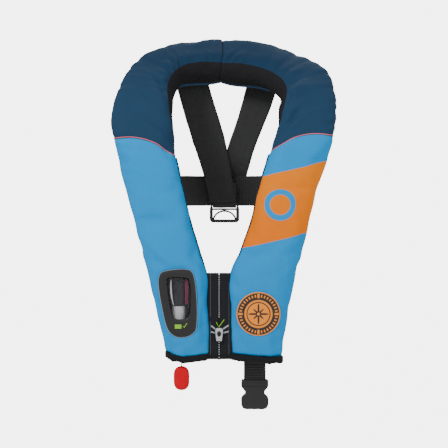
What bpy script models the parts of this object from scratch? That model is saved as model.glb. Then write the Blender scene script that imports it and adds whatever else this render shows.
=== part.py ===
"""Inflatable life jacket, worn pose. Metres, +Z up, +X the wearer's left, +Y the wearer's back.
The origin is the point of the collar's inner edge that rests on the nape of the neck."""

import math

import bmesh
import bpy
import numpy as np
from mathutils import Matrix
from mathutils.bvhtree import BVHTree

# ---------------------------------------------------------------- sizes
SHELL = 0.0022  # quilted cover or liner
WEB = 0.0018  # webbing thickness
FULLNESS = 0.6  # superellipse exponent of the padded section
SECTION_STEPS = 13
HEM_STEPS = 28
BLADDER_ROUND = 16
BLADDER_WIDE = 0.78  # shares of the section's half sizes
BLADDER_DEEP = 0.26
BLADDER_BACK = -0.58
SEAM_RIGHT = 8.0  # station of the seam between yoke and lobe
SEAM_LEFT = 20.0
SEAM_GAP = 0.1  # in stations, each side of a seam

# Edge stations from the hem of the wearer's right lobe, over the nape, to the hem of the left lobe.
# Each has its outer edge, inner edge, half thickness, and the share of that by which it lies behind them.
STATIONS = (
    ((-0.0965, -0.135, -0.497), (-0.0220, -0.135, -0.497), 0.018, 0.0),
    ((-0.107, -0.135, -0.454), (-0.0220, -0.135, -0.454), 0.023, 0.0),
    ((-0.117, -0.135, -0.413), (-0.0225, -0.135, -0.413), 0.025, 0.0),
    ((-0.129, -0.135, -0.361), (-0.026, -0.135, -0.361), 0.025, 0.0),
    ((-0.139, -0.135, -0.320), (-0.038, -0.135, -0.320), 0.025, 0.0),
    ((-0.153, -0.135, -0.268), (-0.053, -0.135, -0.270), 0.025, 0.0),
    ((-0.167, -0.135, -0.214), (-0.065, -0.135, -0.222), 0.025, 0.0),
    ((-0.178, -0.134, -0.169), (-0.072, -0.135, -0.187), 0.025, 0.0),
    ((-0.187, -0.130, -0.127), (-0.0785, -0.134, -0.152), 0.025, 0.05),
    ((-0.192, -0.118, -0.090), (-0.082, -0.128, -0.105), 0.025, 0.3),
    ((-0.187, -0.085, -0.044), (-0.087, -0.110, -0.056), 0.025, 0.6),
    ((-0.175, -0.030, 0.007), (-0.085, -0.077, -0.021), 0.0245, 0.9),
    ((-0.143, 0.034, 0.050), (-0.077, -0.050, 0.004), 0.0255, 1.0),
    ((-0.083, 0.080, 0.080), (-0.056, -0.024, 0.020), 0.0270, 1.0),
    ((0.000, 0.101, 0.092), (0.000, -0.0150, 0.0235), 0.0280, 1.0),
    ((0.094, 0.080, 0.076), (0.061, -0.024, 0.014), 0.0270, 1.0),
    ((0.158, 0.034, 0.046), (0.091, -0.050, -0.004), 0.0255, 1.0),
    ((0.192, -0.030, 0.009), (0.102, -0.077, -0.027), 0.0245, 0.9),
    ((0.201, -0.085, -0.044), (0.103, -0.110, -0.056), 0.025, 0.6),
    ((0.1995, -0.118, -0.088), (0.095, -0.128, -0.103), 0.025, 0.3),
    ((0.1945, -0.130, -0.122), (0.081, -0.134, -0.148), 0.025, 0.05),
    ((0.183, -0.134, -0.165), (0.071, -0.135, -0.183), 0.025, 0.0),
    ((0.1665, -0.135, -0.214), (0.060, -0.135, -0.222), 0.025, 0.0),
    ((0.1525, -0.135, -0.268), (0.048, -0.135, -0.270), 0.025, 0.0),
    ((0.1395, -0.135, -0.320), (0.030, -0.135, -0.320), 0.025, 0.0),
    ((0.1285, -0.135, -0.361), (0.017, -0.135, -0.361), 0.025, 0.0),
    ((0.1185, -0.135, -0.413), (0.0140, -0.135, -0.413), 0.025, 0.0),
    ((0.1120, -0.135, -0.454), (0.0140, -0.135, -0.454), 0.023, 0.0),
    ((0.1040, -0.135, -0.497), (0.0140, -0.135, -0.497), 0.018, 0.0),
)
NAPE = 14.0  # station at the centre of the collar
LAST = 28.0
LINER_WRAP = math.radians(42)  # how far the liner comes round the inner edge at the nape
WRAP_REACH = 5.5  # stations from the nape to where the wrap ends
WRAP_RISE = 2.2
SHELL_MARGIN = 0.012  # angle left free between cover and liner
LOBE_HINGES = {"right": (-0.160, -0.135, -0.135), "left": (0.163, -0.135, -0.132)}

# Waist belt and harness
BELT_Z = (-0.238, -0.182)
WEBBING_HALF = 0.019  # half the width of the front belt
BELT_ROUTE = (
    (0.004, 0.0555), (0.050, 0.0530), (0.095, 0.0380), (0.130, 0.0080), (0.150, -0.0300),
    (0.155, -0.0620), (0.148, -0.0880), (0.134, -0.1010), (0.115, -0.1060), (0.088, -0.1060),
)
HARNESS_FRONT_Y = 0.0395
HARNESS_BACK_Y = 0.0430
HARNESS_FRONT = (
    (-0.0845, -0.0255, -0.0150), (-0.0730, -0.0134, -0.0556), (-0.0526, 0.0071, -0.1228),
    (-0.0358, 0.0183, -0.1788), (-0.0246, 0.0239, -0.2300),
)
HARNESS_BACK = (
    (0.0470, 0.1030, -0.0150), (0.0351, 0.0892, -0.0556), (0.0127, 0.0631, -0.1228),
    (-0.0020, 0.0463, -0.1788), (-0.0030, 0.0420, -0.1900),
)
RING_LOOP = (
    (0.0435, -0.196), (0.0435, -0.2250), (0.0445, -0.2345), (0.0480, -0.2385),
    (0.0515, -0.2345), (0.0525, -0.2250), (0.0525, -0.196),
)
KEEPER_X = 0.098
KEEPER_PATH = (
    (-0.1075, -0.160), (-0.1075, -0.165), (-0.1020, -0.170),
    (-0.1020, -0.243), (-0.1078, -0.248), (-0.1078, -0.252),
)

# Crotch strap ring
RING_X = 0.0043
RING_Y = (0.0465, 0.0495)
RING_PIVOT = (RING_X, 0.0480, -0.2325)
ARCH_Z = -0.2655  # foot of the arch inside the ring

# Zip
TAPE_Y = (-0.1435, -0.1420)
ZIP_X = -0.0050
ZIP_Z = (-0.5015, -0.3570)
TOOTH_ROW = 0.0016
SLIDER_Z = (-0.4640, -0.4500)
SLIDER_Y = -0.1425
SLIDER_HALF = 0.0042
PULLER_PIVOT = (ZIP_X, SLIDER_Y - 0.0056, SLIDER_Z[1] - 0.0020)
PULLER_THICK = 0.0018

# Inflator, behind the window of the right lobe
INFLATOR_X = -0.0745
INFLATOR_Y = -0.1405
LEVER_PIVOT = (-0.0895, -0.1405, -0.4480)
LEVER_Y = (-0.1435, -0.1375)
TOGGLE_X = LEVER_PIVOT[0] + 0.020
TOGGLE_Z = (-0.5570, -0.5157)
CYLINDER_PROFILE = (
    (0, -0.3630), (0.0060, -0.3630), (0.0060, -0.3560), (0.0125, -0.3480),
    (0.0125, -0.2500), (0.0085, -0.2430), (0, -0.2410),
)
BODY_PROFILE = (
    (0, -0.4120), (0.0118, -0.4120), (0.0127, -0.4100), (0.0127, -0.3720),
    (0.0110, -0.3670), (0.0110, -0.3640), (0, -0.3636),
)
STATUS_PROFILE = ((0, -0.4400), (0.0100, -0.4400), (0.0122, -0.4370), (0.0122, -0.4126), (0, -0.4126))
ORAL_PATH = (
    (0.100, -0.1420, -0.330), (0.104, -0.1430, -0.300), (0.108, -0.1430, -0.270), (0.112, -0.1430, -0.230),
)
ORAL_CAP_PROFILE = ((0, 0.0), (0.0080, 0.0), (0.0090, 0.002), (0.0090, 0.016), (0.0060, 0.019), (0, 0.019))
ORAL_CAP_AT = (0.1125, -0.1430, -0.2285)

# Window and emblem outlines, as x and z
WINDOW_OUTER = (
    (-0.1065, -0.3600), (-0.0975, -0.3520), (-0.0640, -0.3488), (-0.0490, -0.3580), (-0.0430, -0.4020),
    (-0.0432, -0.4450), (-0.0480, -0.4570), (-0.0590, -0.4640), (-0.0770, -0.4645), (-0.0920, -0.4520),
    (-0.1010, -0.4200), (-0.1080, -0.3780),
)
WINDOW_INNER = (
    (-0.0935, -0.3680), (-0.0890, -0.3635), (-0.0650, -0.3635), (-0.0560, -0.3680), (-0.0535, -0.3900),
    (-0.0545, -0.4200), (-0.0580, -0.4300), (-0.0650, -0.4335), (-0.0760, -0.4340), (-0.0830, -0.4300),
    (-0.0885, -0.4120), (-0.0925, -0.3850),
)
WINDOW_CENTRE = (-0.0735, -0.3985)
EMBLEM = (0.0620, -0.4250)
EMBLEM_RADIUS = 0.0374

# Buckles
BUCKLE_X = 0.0570
BUCKLE_Y = -0.1065
BUCKLE_HALF_DEPTH = 0.0060
HEM_PIVOT = (BUCKLE_X, BUCKLE_Y, -0.5060)
TAIL_PIVOT = (-0.0830, -0.1045, -0.2520)
MALE_X = -0.0830
MALE_Y = -0.0960
FEMALE_HALF_OUTLINE = (
    (0.0222, -0.5425), (0.0232, -0.5442), (0.0232, -0.5550), (0.0170, -0.5630), (0.0168, -0.5670),
    (0.0228, -0.5730), (0.0238, -0.5770), (0.0236, -0.5870), (0.0205, -0.5925), (0.0150, -0.5942),
)
PRONG_OUTLINE = (
    (0.0105, -0.4206), (0.0155, -0.4206), (0.0168, -0.4330), (0.0212, -0.4350),
    (0.0190, -0.4450), (0.0150, -0.4480), (0.0120, -0.4450), (0.0120, -0.4330),
)
# Webbing through each buckle: distance in front of the buckle's middle (as y) and height
BELT_END_PATH = (
    (-0.0010, -0.5070), (-0.0030, -0.5150), (-0.0038, -0.5430), (-0.0022, -0.5490),
    (0.0, -0.5506), (0.0022, -0.5490), (0.0038, -0.5430), (0.0030, -0.5200),
)
TAIL_PATH = (
    (-0.0085, -0.2560), (-0.0040, -0.2750), (-0.0030, -0.3900), (-0.0026, -0.4000),
    (0.0, -0.4024), (0.0026, -0.4000), (0.0030, -0.3900), (0.0030, -0.3500),
)
LEFT_BELT_PATH = (
    (0.0860, -0.1078, -0.262), (0.0660, -0.1078, -0.380), (BUCKLE_X, -0.1078, -0.460),
    (BUCKLE_X, BUCKLE_Y, -0.480), (BUCKLE_X, BUCKLE_Y, -0.5050),
)
THROUGH = 0.02  # how far a cutter passes beyond the piece

RIGHT_LOBE_PIECES = (
    "right_lobe_cover", "right_lobe_back", "bladder_right", "right_hem_binding", "window_frame",
    "window_lens", "co2_cylinder", "inflator_body", "status_cap", "lever_pin", "inflator_lever", "pull_cord", "pull_toggle",
    "right_zip_tape", "right_zip_teeth", "zip_end_stop", "zip_slider", "zip_puller", "belt_keeper_right",
    "right_belt_webbing", "buckle_male", "prong_right", "prong_left", "belt_adjuster",
)
LEFT_LOBE_PIECES = (
    "left_lobe_cover", "left_lobe_back", "bladder_left", "left_hem_binding", "emblem_patch", "oral_tube",
    "oral_valve_cap", "whistle", "left_zip_tape", "left_zip_teeth", "belt_keeper_left", "left_belt_webbing",
    "belt_end_webbing", "buckle_female",
)

SHOWN = None
HELPERS = None


# ---------------------------------------------------------------- scene
def clear_scene():
    for obj in list(bpy.data.objects):
        bpy.data.objects.remove(obj, do_unlink=True)


def make_collections():
    global SHOWN, HELPERS
    SHOWN = bpy.data.collections.new("inflatable_life_jacket")
    HELPERS = bpy.data.collections.new("cutters")
    HELPERS.hide_render = True
    bpy.context.scene.collection.children.link(SHOWN)
    bpy.context.scene.collection.children.link(HELPERS)


def material(name, colour, roughness, metallic=0.0):
    made = bpy.data.materials.get(name)
    if made:
        return made
    made = bpy.data.materials.new(name)
    made.use_nodes = True
    shader = made.node_tree.nodes["Principled BSDF"]
    shader.inputs["Base Color"].default_value = (*colour, 1.0)
    shader.inputs["Roughness"].default_value = roughness
    shader.inputs["Metallic"].default_value = metallic
    made.diffuse_color = (*colour, 1.0)
    return made


# ---------------------------------------------------------------- building blocks
def finished(name, work, look, origin, cutter):
    """The object made from an edited mesh, with its origin at the given point."""
    mesh = bpy.data.meshes.new(name)
    bmesh.ops.translate(work, vec=[-c for c in origin], verts=work.verts)
    bmesh.ops.recalc_face_normals(work, faces=work.faces)
    work.to_mesh(mesh)
    work.free()
    obj = bpy.data.objects.new(name, mesh)
    obj.location = origin
    if cutter:
        HELPERS.objects.link(obj)
        obj.hide_render = True
        obj.display_type = "WIRE"
    else:
        SHOWN.objects.link(obj)
        mesh.materials.append(look)
        mesh.shade_smooth()
        mesh.set_sharp_from_angle(angle=math.radians(35))
    return obj


def mesh_object(name, points, faces, look, origin=(0, 0, 0), cutter=False):
    work = bmesh.new()
    corners = [work.verts.new(p) for p in points]
    for face in faces:
        work.faces.new([corners[i] for i in face])
    return finished(name, work, look, origin, cutter)


def loft(name, rings, look, origin=(0, 0, 0), cutter=False):
    """A solid through closed rings of equal length, with flat ends."""
    count = len(rings[0])
    points = [p for ring in rings for p in ring]
    faces = []
    for k in range(len(rings) - 1):
        for i in range(count):
            j = (i + 1) % count
            faces.append((k * count + i, k * count + j, (k + 1) * count + j, (k + 1) * count + i))
    last = (len(rings) - 1) * count
    faces.append(tuple(range(count)))
    faces.append(tuple(range(last, last + count)))
    return mesh_object(name, points, faces, look, origin, cutter)


def prism(name, outline, low_y, high_y, look, origin=(0, 0, 0), cutter=False):
    """An outline in x and z, extruded from one depth to another."""
    work = bmesh.new()
    face = work.faces.new([work.verts.new((x, low_y, z)) for x, z in outline])
    made = bmesh.ops.extrude_face_region(work, geom=[face])["geom"]
    moved = [item for item in made if isinstance(item, bmesh.types.BMVert)]
    bmesh.ops.translate(work, vec=(0, high_y - low_y, 0), verts=moved)
    return finished(name, work, look, origin, cutter)


def block(name, low, high, look, origin=(0, 0, 0), cutter=False):
    """A box between two corners."""
    work = bmesh.new()
    bmesh.ops.create_cube(work, size=1.0)
    size = [b - a for a, b in zip(low, high)]
    middle = [(a + b) / 2 for a, b in zip(low, high)]
    bmesh.ops.scale(work, vec=size, verts=work.verts)
    bmesh.ops.translate(work, vec=middle, verts=work.verts)
    return finished(name, work, look, origin, cutter)


def catmull_rom(a, b, c, d, t):
    """The point at share t of the curve from b to c, with a before it and d after it."""
    return 0.5 * (2 * b + (c - a) * t + (2 * a - 5 * b + 4 * c - d) * t**2 + (3 * b - a - 3 * c + d) * t**3)


def smooth_outline(outline, steps):
    """The outline as a closed Catmull-Rom curve."""
    made = []
    for k in range(len(outline)):
        near = [np.array(outline[(k + i - 1) % len(outline)]) for i in range(4)]
        for s in range(steps):
            point = catmull_rom(*near, s / steps)
            made.append((float(point[0]), float(point[1])))
    return made


def circle(centre, radius, count, radius_up=None):
    """Points round a circle or an upright ellipse."""
    made = []
    for k in range(count):
        angle = 2 * math.pi * k / count
        up = radius if radius_up is None else radius_up
        made.append((centre[0] + radius * math.cos(angle), centre[1] + up * math.sin(angle)))
    return made


def rounded(low, high, radius, steps=4):
    """A rectangle in x and z with round corners."""
    made = []
    corners = ((high[0], high[1]), (low[0], high[1]), (low[0], low[1]), (high[0], low[1]))
    for k, (x, z) in enumerate(corners):
        centre = (x - math.copysign(radius, x - low[0] - 1e-9), z - math.copysign(radius, z - low[1] - 1e-9))
        for s in range(steps + 1):
            angle = math.pi / 2 * (k + s / steps)
            made.append((centre[0] + radius * math.cos(angle), centre[1] + radius * math.sin(angle)))
    return made


def turned(name, profile, centre, look, steps=20):
    """A turned piece from (radius, height) pairs that start and end on its upright axis."""
    mesh = bpy.data.meshes.new(name)
    points = [(r, 0, h) for r, h in profile]
    mesh.from_pydata(points, [(i, i + 1) for i in range(len(points) - 1)], [])
    obj = bpy.data.objects.new(name, mesh)
    obj.location = centre
    SHOWN.objects.link(obj)
    mesh.materials.append(look)
    screw = obj.modifiers.new("turn", "SCREW")
    screw.axis = "Z"
    screw.steps = steps
    screw.render_steps = steps
    screw.use_merge_vertices = True
    screw.merge_threshold = 0.00001
    screw.use_normal_flip = True
    return obj


def tube(name, points, radius, look, origin=(0, 0, 0), resolution=2):
    curve = bpy.data.curves.new(name, "CURVE")
    curve.dimensions = "3D"
    curve.bevel_depth = radius
    curve.bevel_resolution = resolution
    curve.use_fill_caps = True
    line = curve.splines.new("POLY")
    line.points.add(len(points) - 1)
    for k, p in enumerate(points):
        line.points[k].co = (*(p[i] - origin[i] for i in range(3)), 1.0)
    obj = bpy.data.objects.new(name, curve)
    obj.location = origin
    SHOWN.objects.link(obj)
    curve.materials.append(look)
    return obj


def cut(obj, cutter, operation="DIFFERENCE"):
    step = obj.modifiers.new(operation.lower(), "BOOLEAN")
    step.operation = operation
    step.solver = "EXACT"
    step.object = cutter


def strap(name, path, across, half_width, look, thickness=WEB, origin=(0, 0, 0)):
    """Webbing along path, a list of points, its width along the vector across."""
    path = np.array(path, float)
    across = np.array(across, float) / np.linalg.norm(across)
    ahead = np.gradient(path, axis=0)
    widths = half_width if hasattr(half_width, "__len__") else [half_width] * len(path)
    rings = []
    for p, t, w in zip(path, ahead, widths):
        face = np.cross(t, across)
        face *= thickness / 2 / np.linalg.norm(face)
        side = across * w
        rings.append([tuple(p + a * side + b * face) for a, b in ((1, 1), (1, -1), (-1, -1), (-1, 1))])
    return loft(name, rings, look, origin)


def ribbon(name, edges, y, look, thickness=WEB):
    """A flat strap facing the front, from (left x, right x, z) rows."""
    rings = []
    for left, right, z in edges:
        rings.append([(left, y, z), (right, y, z), (right, y + thickness, z), (left, y + thickness, z)])
    return loft(name, rings, look)


# ---------------------------------------------------------------- padded sections
def station(u):
    """Edges, half thickness and shift at station u, along a Catmull-Rom curve through STATIONS."""
    k = min(int(u), len(STATIONS) - 2)
    rows = [STATIONS[min(max(k + i - 1, 0), len(STATIONS) - 1)] for i in range(4)]
    return catmull_rom(*(np.array((*row[0], *row[1], row[2], row[3])) for row in rows), u - k)


def section(u):
    """Centre, half width vector towards the inner edge, and half thickness vector towards the front."""
    row = station(u)
    step = 0.05
    after, before = station(min(u + step, LAST)), station(max(u - step, 0.0))
    along = (after[:3] + after[3:6] - before[:3] - before[3:6]) / 2
    half = (row[3:6] - row[:3]) / 2
    front = np.cross(half, along)
    front *= row[6] / np.linalg.norm(front)
    return (row[:3] + row[3:6]) / 2 - front * row[7], half, front


def padded_point(frame, angle, inset=0.0, wide=1.0, deep=1.0, shift=0.0):
    """A point of the padded section: angle 0 is the inner edge, pi / 2 the front, pi the outer edge."""
    centre, half, front = frame
    a = wide - inset / np.linalg.norm(half)
    b = deep - inset / np.linalg.norm(front)
    c, s = math.cos(angle), math.sin(angle)
    across = math.copysign(abs(c) ** FULLNESS, c) * a
    depth = math.copysign(abs(s) ** FULLNESS, s) * b + shift
    return tuple(centre + half * across + front * depth)


def wrap_at(u):
    """How far the liner comes round the inner edge: none on the lobes, most along the collar."""
    nearness = max(0.0, 1.0 - abs(u - NAPE) / WRAP_REACH)
    return LINER_WRAP * min(1.0, nearness * WRAP_RISE)


def half_shell(name, start, end, count, front, look):
    """The front cover or the back liner between two stations: a curved sheet of even thickness."""
    rings = []
    for u in np.linspace(start, end, count):
        frame = section(float(u))
        low, high = wrap_at(u) + SHELL_MARGIN, math.pi - SHELL_MARGIN
        if not front:
            low, high = math.pi + SHELL_MARGIN, 2 * math.pi + wrap_at(u) - SHELL_MARGIN
        angles = np.linspace(low, high, SECTION_STEPS)
        outside = [padded_point(frame, a) for a in angles]
        inside = [padded_point(frame, a, inset=SHELL) for a in angles[::-1]]
        rings.append(outside + inside)
    around = 2 * SECTION_STEPS
    points = [p for ring in rings for p in ring]
    faces = []
    for k in range(len(rings) - 1):
        a, b = k * around, (k + 1) * around
        for i in range(around):
            j = (i + 1) % around
            faces.append((a + i, a + j, b + j, b + i))
    for base in (0, (len(rings) - 1) * around):
        for i in range(SECTION_STEPS - 1):
            faces.append((base + i, base + i + 1, base + around - 2 - i, base + around - 1 - i))
    return mesh_object(name, points, faces, look)


def bladder(name, start, end, count, look):
    """The folded gas bladder, a flat pad towards the back of the section."""
    rings = []
    for u in np.linspace(start, end, count):
        frame = section(float(u))
        angles = [2 * math.pi * k / BLADDER_ROUND for k in range(BLADDER_ROUND)]
        size = {"wide": BLADDER_WIDE, "deep": BLADDER_DEEP, "shift": BLADDER_BACK}
        rings.append([padded_point(frame, a, **size) for a in angles])
    return loft(name, rings, look)


def hem(name, u, drop, look):
    """The bound hem, closing the lower end of a lobe."""
    rings = []
    frame = section(u)
    for fall in (0.0008, drop):
        ring = [padded_point(frame, 2 * math.pi * k / HEM_STEPS) for k in range(HEM_STEPS)]
        rings.append([(x, y, z - fall) for x, y, z in ring])
    return loft(name, rings, look)


def surface_of(obj):
    mesh = obj.data
    return BVHTree.FromPolygons([v.co[:] for v in mesh.vertices], [p.vertices[:] for p in mesh.polygons])


def front_of(tree, x, z):
    hit = tree.ray_cast((x, -0.5, z), (0, 1, 0))[0]
    return hit.y if hit else -0.135


def draped_rings(outer, inner, shares):
    """Rings between two outlines, the first at share 0 and the last at share 1."""
    rings = []
    for share in shares:
        ring = []
        for (x, z), (to_x, to_z) in zip(outer, inner):
            ring.append((x + (to_x - x) * share, z + (to_z - z) * share))
        rings.append(ring)
    return rings


def joined(first, second, count):
    """Quads between two rings, given the index where each starts."""
    faces = []
    for i in range(count):
        j = (i + 1) % count
        faces.append((first + i, first + j, second + j, second + i))
    return faces


def draped(name, tree, outer, inner, lift, thickness, look):
    """A patch that follows the cover: a ring between two outlines, or a whole one when inner is a point."""
    count = len(outer)
    whole = not hasattr(inner[0], "__len__")
    if whole:
        rings = draped_rings(outer, [inner] * count, (0.0, 0.34, 0.67))
    else:
        rings = draped_rings(outer, inner, (0.0, 0.5, 1.0))
    layers = len(rings)
    points, faces = [], []
    for offset in (lift + thickness, lift):
        for ring in rings:
            points += [(x, front_of(tree, x, z) - offset, z) for x, z in ring]
    for side in range(2):
        for r in range(layers - 1):
            start = (side * layers + r) * count
            faces += joined(start, start + count, count)
    for r in [0] if whole else [0, layers - 1]:
        faces += joined(r * count, (layers + r) * count, count)
    if whole:
        for side, offset in enumerate((lift + thickness, lift)):
            start = (side * layers + layers - 1) * count
            points.append((inner[0], front_of(tree, *inner) - offset, inner[1]))
            faces += [(start + i, start + (i + 1) % count, len(points) - 1) for i in range(count)]
    return mesh_object(name, points, faces, look)


# ---------------------------------------------------------------- cover, liner and bladder
def build_cover():
    navy = material("navy_fabric", (0.025, 0.072, 0.133), 0.75)
    cyan = material("cyan_fabric", (0.0, 0.42, 0.75), 0.7)
    mesh_black = material("spacer_mesh", (0.012, 0.012, 0.014), 0.9)
    lining = material("lining_fabric", (0.02, 0.03, 0.045), 0.85)
    yellow = material("bladder_fabric", (0.85, 0.72, 0.03), 0.55)
    start, end = SEAM_RIGHT + SEAM_GAP, SEAM_LEFT - SEAM_GAP
    half_shell("yoke_cover", start, end, 37, True, navy)
    half_shell("collar_liner", start, end, 37, False, mesh_black)
    bladder("bladder_collar", start + 0.15, end - 0.15, 25, yellow)
    right = half_shell("right_lobe_cover", 0.0, SEAM_RIGHT - SEAM_GAP, 17, True, cyan)
    half_shell("right_lobe_back", 0.0, SEAM_RIGHT - SEAM_GAP, 17, False, lining)
    left = half_shell("left_lobe_cover", SEAM_LEFT + SEAM_GAP, 28.0, 17, True, cyan)
    half_shell("left_lobe_back", SEAM_LEFT + SEAM_GAP, 28.0, 17, False, lining)
    bladder("bladder_right", 0.7, SEAM_RIGHT - 0.25, 11, yellow)
    bladder("bladder_left", SEAM_LEFT + 0.25, 27.3, 11, yellow)
    return right, left


def build_edges():
    coral = material("coral_piping", (0.75, 0.13, 0.12), 0.6)
    black = material("black_binding", (0.01, 0.01, 0.011), 0.8)
    for name, u in (("seam_piping_right", SEAM_RIGHT + 0.06), ("seam_piping_left", SEAM_LEFT - 0.06)):
        frame = section(u)
        path = [padded_point(frame, a, inset=-0.0002) for a in np.linspace(0.05, math.pi - 0.05, 18)]
        tube(name, path, 0.0009, coral, resolution=1)
    for name, u in (("right_hem_binding", 0.0), ("left_hem_binding", LAST)):
        hem(name, u, 0.0060, black)
    low, high = (TOGGLE_X - 0.003, LEVER_Y[0], -0.510), (TOGGLE_X + 0.003, LEVER_Y[1], -0.490)
    cut(bpy.data.objects["right_hem_binding"], block("cord_hole", low, high, None, cutter=True))


def shrunk(outline, centre, share):
    return [(x + (centre[0] - x) * share, z + (centre[1] - z) * share) for x, z in outline]


def build_window(cover, tree):
    panel = material("window_panel", (0.045, 0.045, 0.045), 0.45)
    clear = material("window_clear", (0.75, 0.78, 0.8), 0.05)
    outer = smooth_outline(WINDOW_OUTER, 3)
    inner = smooth_outline(WINDOW_INNER, 3)
    draped("window_frame", tree, outer, inner, 0.0012, 0.0022, panel)
    draped("window_lens", tree, shrunk(inner, WINDOW_CENTRE, 0.03), WINDOW_CENTRE, 0.0018, 0.0012, clear)
    cutter = prism("window_hole", shrunk(inner, WINDOW_CENTRE, 0.06), -0.175, -0.150, None, cutter=True)
    cut(cover, cutter)


def build_emblem(tree):
    orange = material("emblem_rubber", (0.9, 0.36, 0.06), 0.6)
    draped("emblem_patch", tree, circle(EMBLEM, EMBLEM_RADIUS, 32), EMBLEM, 0.0010, 0.0010, orange)


# ---------------------------------------------------------------- inflation gear
def build_inflator():
    black = material("inflator_plastic", (0.02, 0.02, 0.022), 0.35)
    steel = material("cylinder_steel", (0.55, 0.56, 0.58), 0.3, 0.9)
    white = material("status_white", (0.62, 0.63, 0.66), 0.4)
    at = (INFLATOR_X, INFLATOR_Y, 0.0)
    turned("co2_cylinder", CYLINDER_PROFILE, at, steel)
    turned("inflator_body", BODY_PROFILE, at, black)
    turned("status_cap", STATUS_PROFILE, at, white)
    x, y, z = LEVER_PIVOT
    tube("lever_pin", [(x, y - 0.004, z), (x, y + 0.004, z)], 0.0012, steel)
    arm = rounded((x - 0.0040, z - 0.0035), (TOGGLE_X + 0.0040, z + 0.0035), 0.003)
    lever = prism("inflator_lever", arm, *LEVER_Y, black, LEVER_PIVOT)
    bore = circle((x, z), 0.0016, 16)
    cut(lever, prism("lever_bore", bore, y - THROUGH, y + THROUGH, None, cutter=True))
    fork_low = (TOGGLE_X - 0.0016, y - 0.0013, z - 0.010)
    fork_high = (TOGGLE_X + 0.0100, y + 0.0013, z + 0.010)
    cut(lever, block("lever_fork", fork_low, fork_high, None, cutter=True))


def build_toggle():
    red = material("toggle_red", (0.65, 0.006, 0.018), 0.35)
    cord = material("white_cord", (0.8, 0.8, 0.78), 0.8)
    x, y = TOGGLE_X, LEVER_PIVOT[1]
    bottom, top = TOGGLE_Z
    tube("pull_cord", [(x, y, z) for z in (-0.4470, -0.4800, top - 0.0080)], 0.0009, cord)
    rings = []
    for share in (0.0, 0.04, 0.12, 0.25, 0.45, 0.65, 0.82, 0.93, 1.0):
        from_end = min(share, 1 - share)
        size = (1 - (1 - min(1.0, from_end / 0.3)) ** 2.4) ** 0.5 * 0.72 + 0.28
        ring = []
        for k in range(20):
            c, s = math.cos(math.pi * k / 10), math.sin(math.pi * k / 10)
            across = 0.0128 * size * math.copysign(abs(c) ** 0.8, c)
            deep = 0.0070 * size * math.copysign(abs(s) ** 0.8, s)
            ring.append((x + across, y + deep, bottom + share * (top - bottom)))
        rings.append(ring)
    toggle = loft("pull_toggle", rings, red, (x, y, top))
    well = [[(a, b, z) for a, b in circle((x, y), 0.0014, 10)] for z in (top - 0.0100, top + 0.0050)]
    cut(toggle, loft("toggle_well", well, None, cutter=True))


def build_oral_tube():
    black = material("inflator_plastic", (0.02, 0.02, 0.022), 0.35)
    orange = material("whistle_orange", (0.9, 0.25, 0.02), 0.4)
    tube("oral_tube", ORAL_PATH, 0.0060, black, resolution=3)
    turned("oral_valve_cap", ORAL_CAP_PROFILE, ORAL_CAP_AT, black)
    block("whistle", (0.070, -0.1490, -0.300), (0.081, -0.1400, -0.262), orange)


# ---------------------------------------------------------------- zip
def build_zip():
    tape = material("zip_tape", (0.012, 0.012, 0.013), 0.85)
    teeth = material("zip_teeth", (0.75, 0.75, 0.74), 0.5)
    inner_left = ZIP_X - 2 * TOOTH_ROW
    inner_right = ZIP_X + 2 * TOOTH_ROW
    for name, low, high in (("right_zip_tape", -0.0214, inner_left), ("left_zip_tape", inner_right, 0.0132)):
        block(name, (low, TAPE_Y[0], ZIP_Z[0]), (high, TAPE_Y[1], ZIP_Z[1]), tape)
    rows = (
        ("right_zip_teeth", ZIP_X - TOOTH_ROW, ZIP_X - 0.0002),
        ("left_zip_teeth", ZIP_X + 0.0002, ZIP_X + TOOTH_ROW),
    )
    for name, left, right in rows:
        low = (left, TAPE_Y[0] - 0.0003, ZIP_Z[0] + 0.002)
        high = (right, TAPE_Y[1] + 0.0003, ZIP_Z[1] - 0.001)
        block(name, low, high, teeth)


def build_zip_metal():
    metal = material("zip_metal", (0.62, 0.62, 0.63), 0.3, 0.6)
    low = (ZIP_X - 0.0028, TAPE_Y[0] - 0.001, ZIP_Z[0] - 0.003)
    high = (ZIP_X + 0.0028, TAPE_Y[1] + 0.001, ZIP_Z[0] + 0.0014)
    block("zip_end_stop", low, high, metal)
    low = (ZIP_X - SLIDER_HALF, SLIDER_Y - 0.0040, SLIDER_Z[0])
    high = (ZIP_X + SLIDER_HALF, SLIDER_Y + 0.0030, SLIDER_Z[1])
    slider = block("zip_slider", low, high, metal, (ZIP_X, SLIDER_Y, SLIDER_Z[1]))
    below, above = SLIDER_Z[0] - THROUGH, SLIDER_Z[1] + THROUGH
    low, high = (ZIP_X - 0.0028, SLIDER_Y - 0.0016, below), (ZIP_X + THROUGH, SLIDER_Y + 0.0016, above)
    cut(slider, block("slider_channel", low, high, None, cutter=True))
    low, high = (ZIP_X - THROUGH, SLIDER_Y - 0.0015, below), (ZIP_X - 0.0030, SLIDER_Y + 0.0015, above)
    cut(slider, block("slider_flange", low, high, None, cutter=True))
    x, y, z = PULLER_PIVOT
    half = ((0.0040, 0.0008), (0.0048, -0.0010), (0.0040, -0.0100), (0.0046, -0.0205))
    outline = [(x + a, z + b) for a, b in half] + [(x - a, z + b) for a, b in reversed(half)]
    puller = prism("zip_puller", outline, y - PULLER_THICK / 2, y + PULLER_THICK / 2, metal, PULLER_PIVOT)
    eye = circle((x, z - 0.0130), 0.0022, 16, 0.0040)
    cut(puller, prism("puller_eye", eye, y - THROUGH, y + THROUGH, None, cutter=True))


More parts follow.
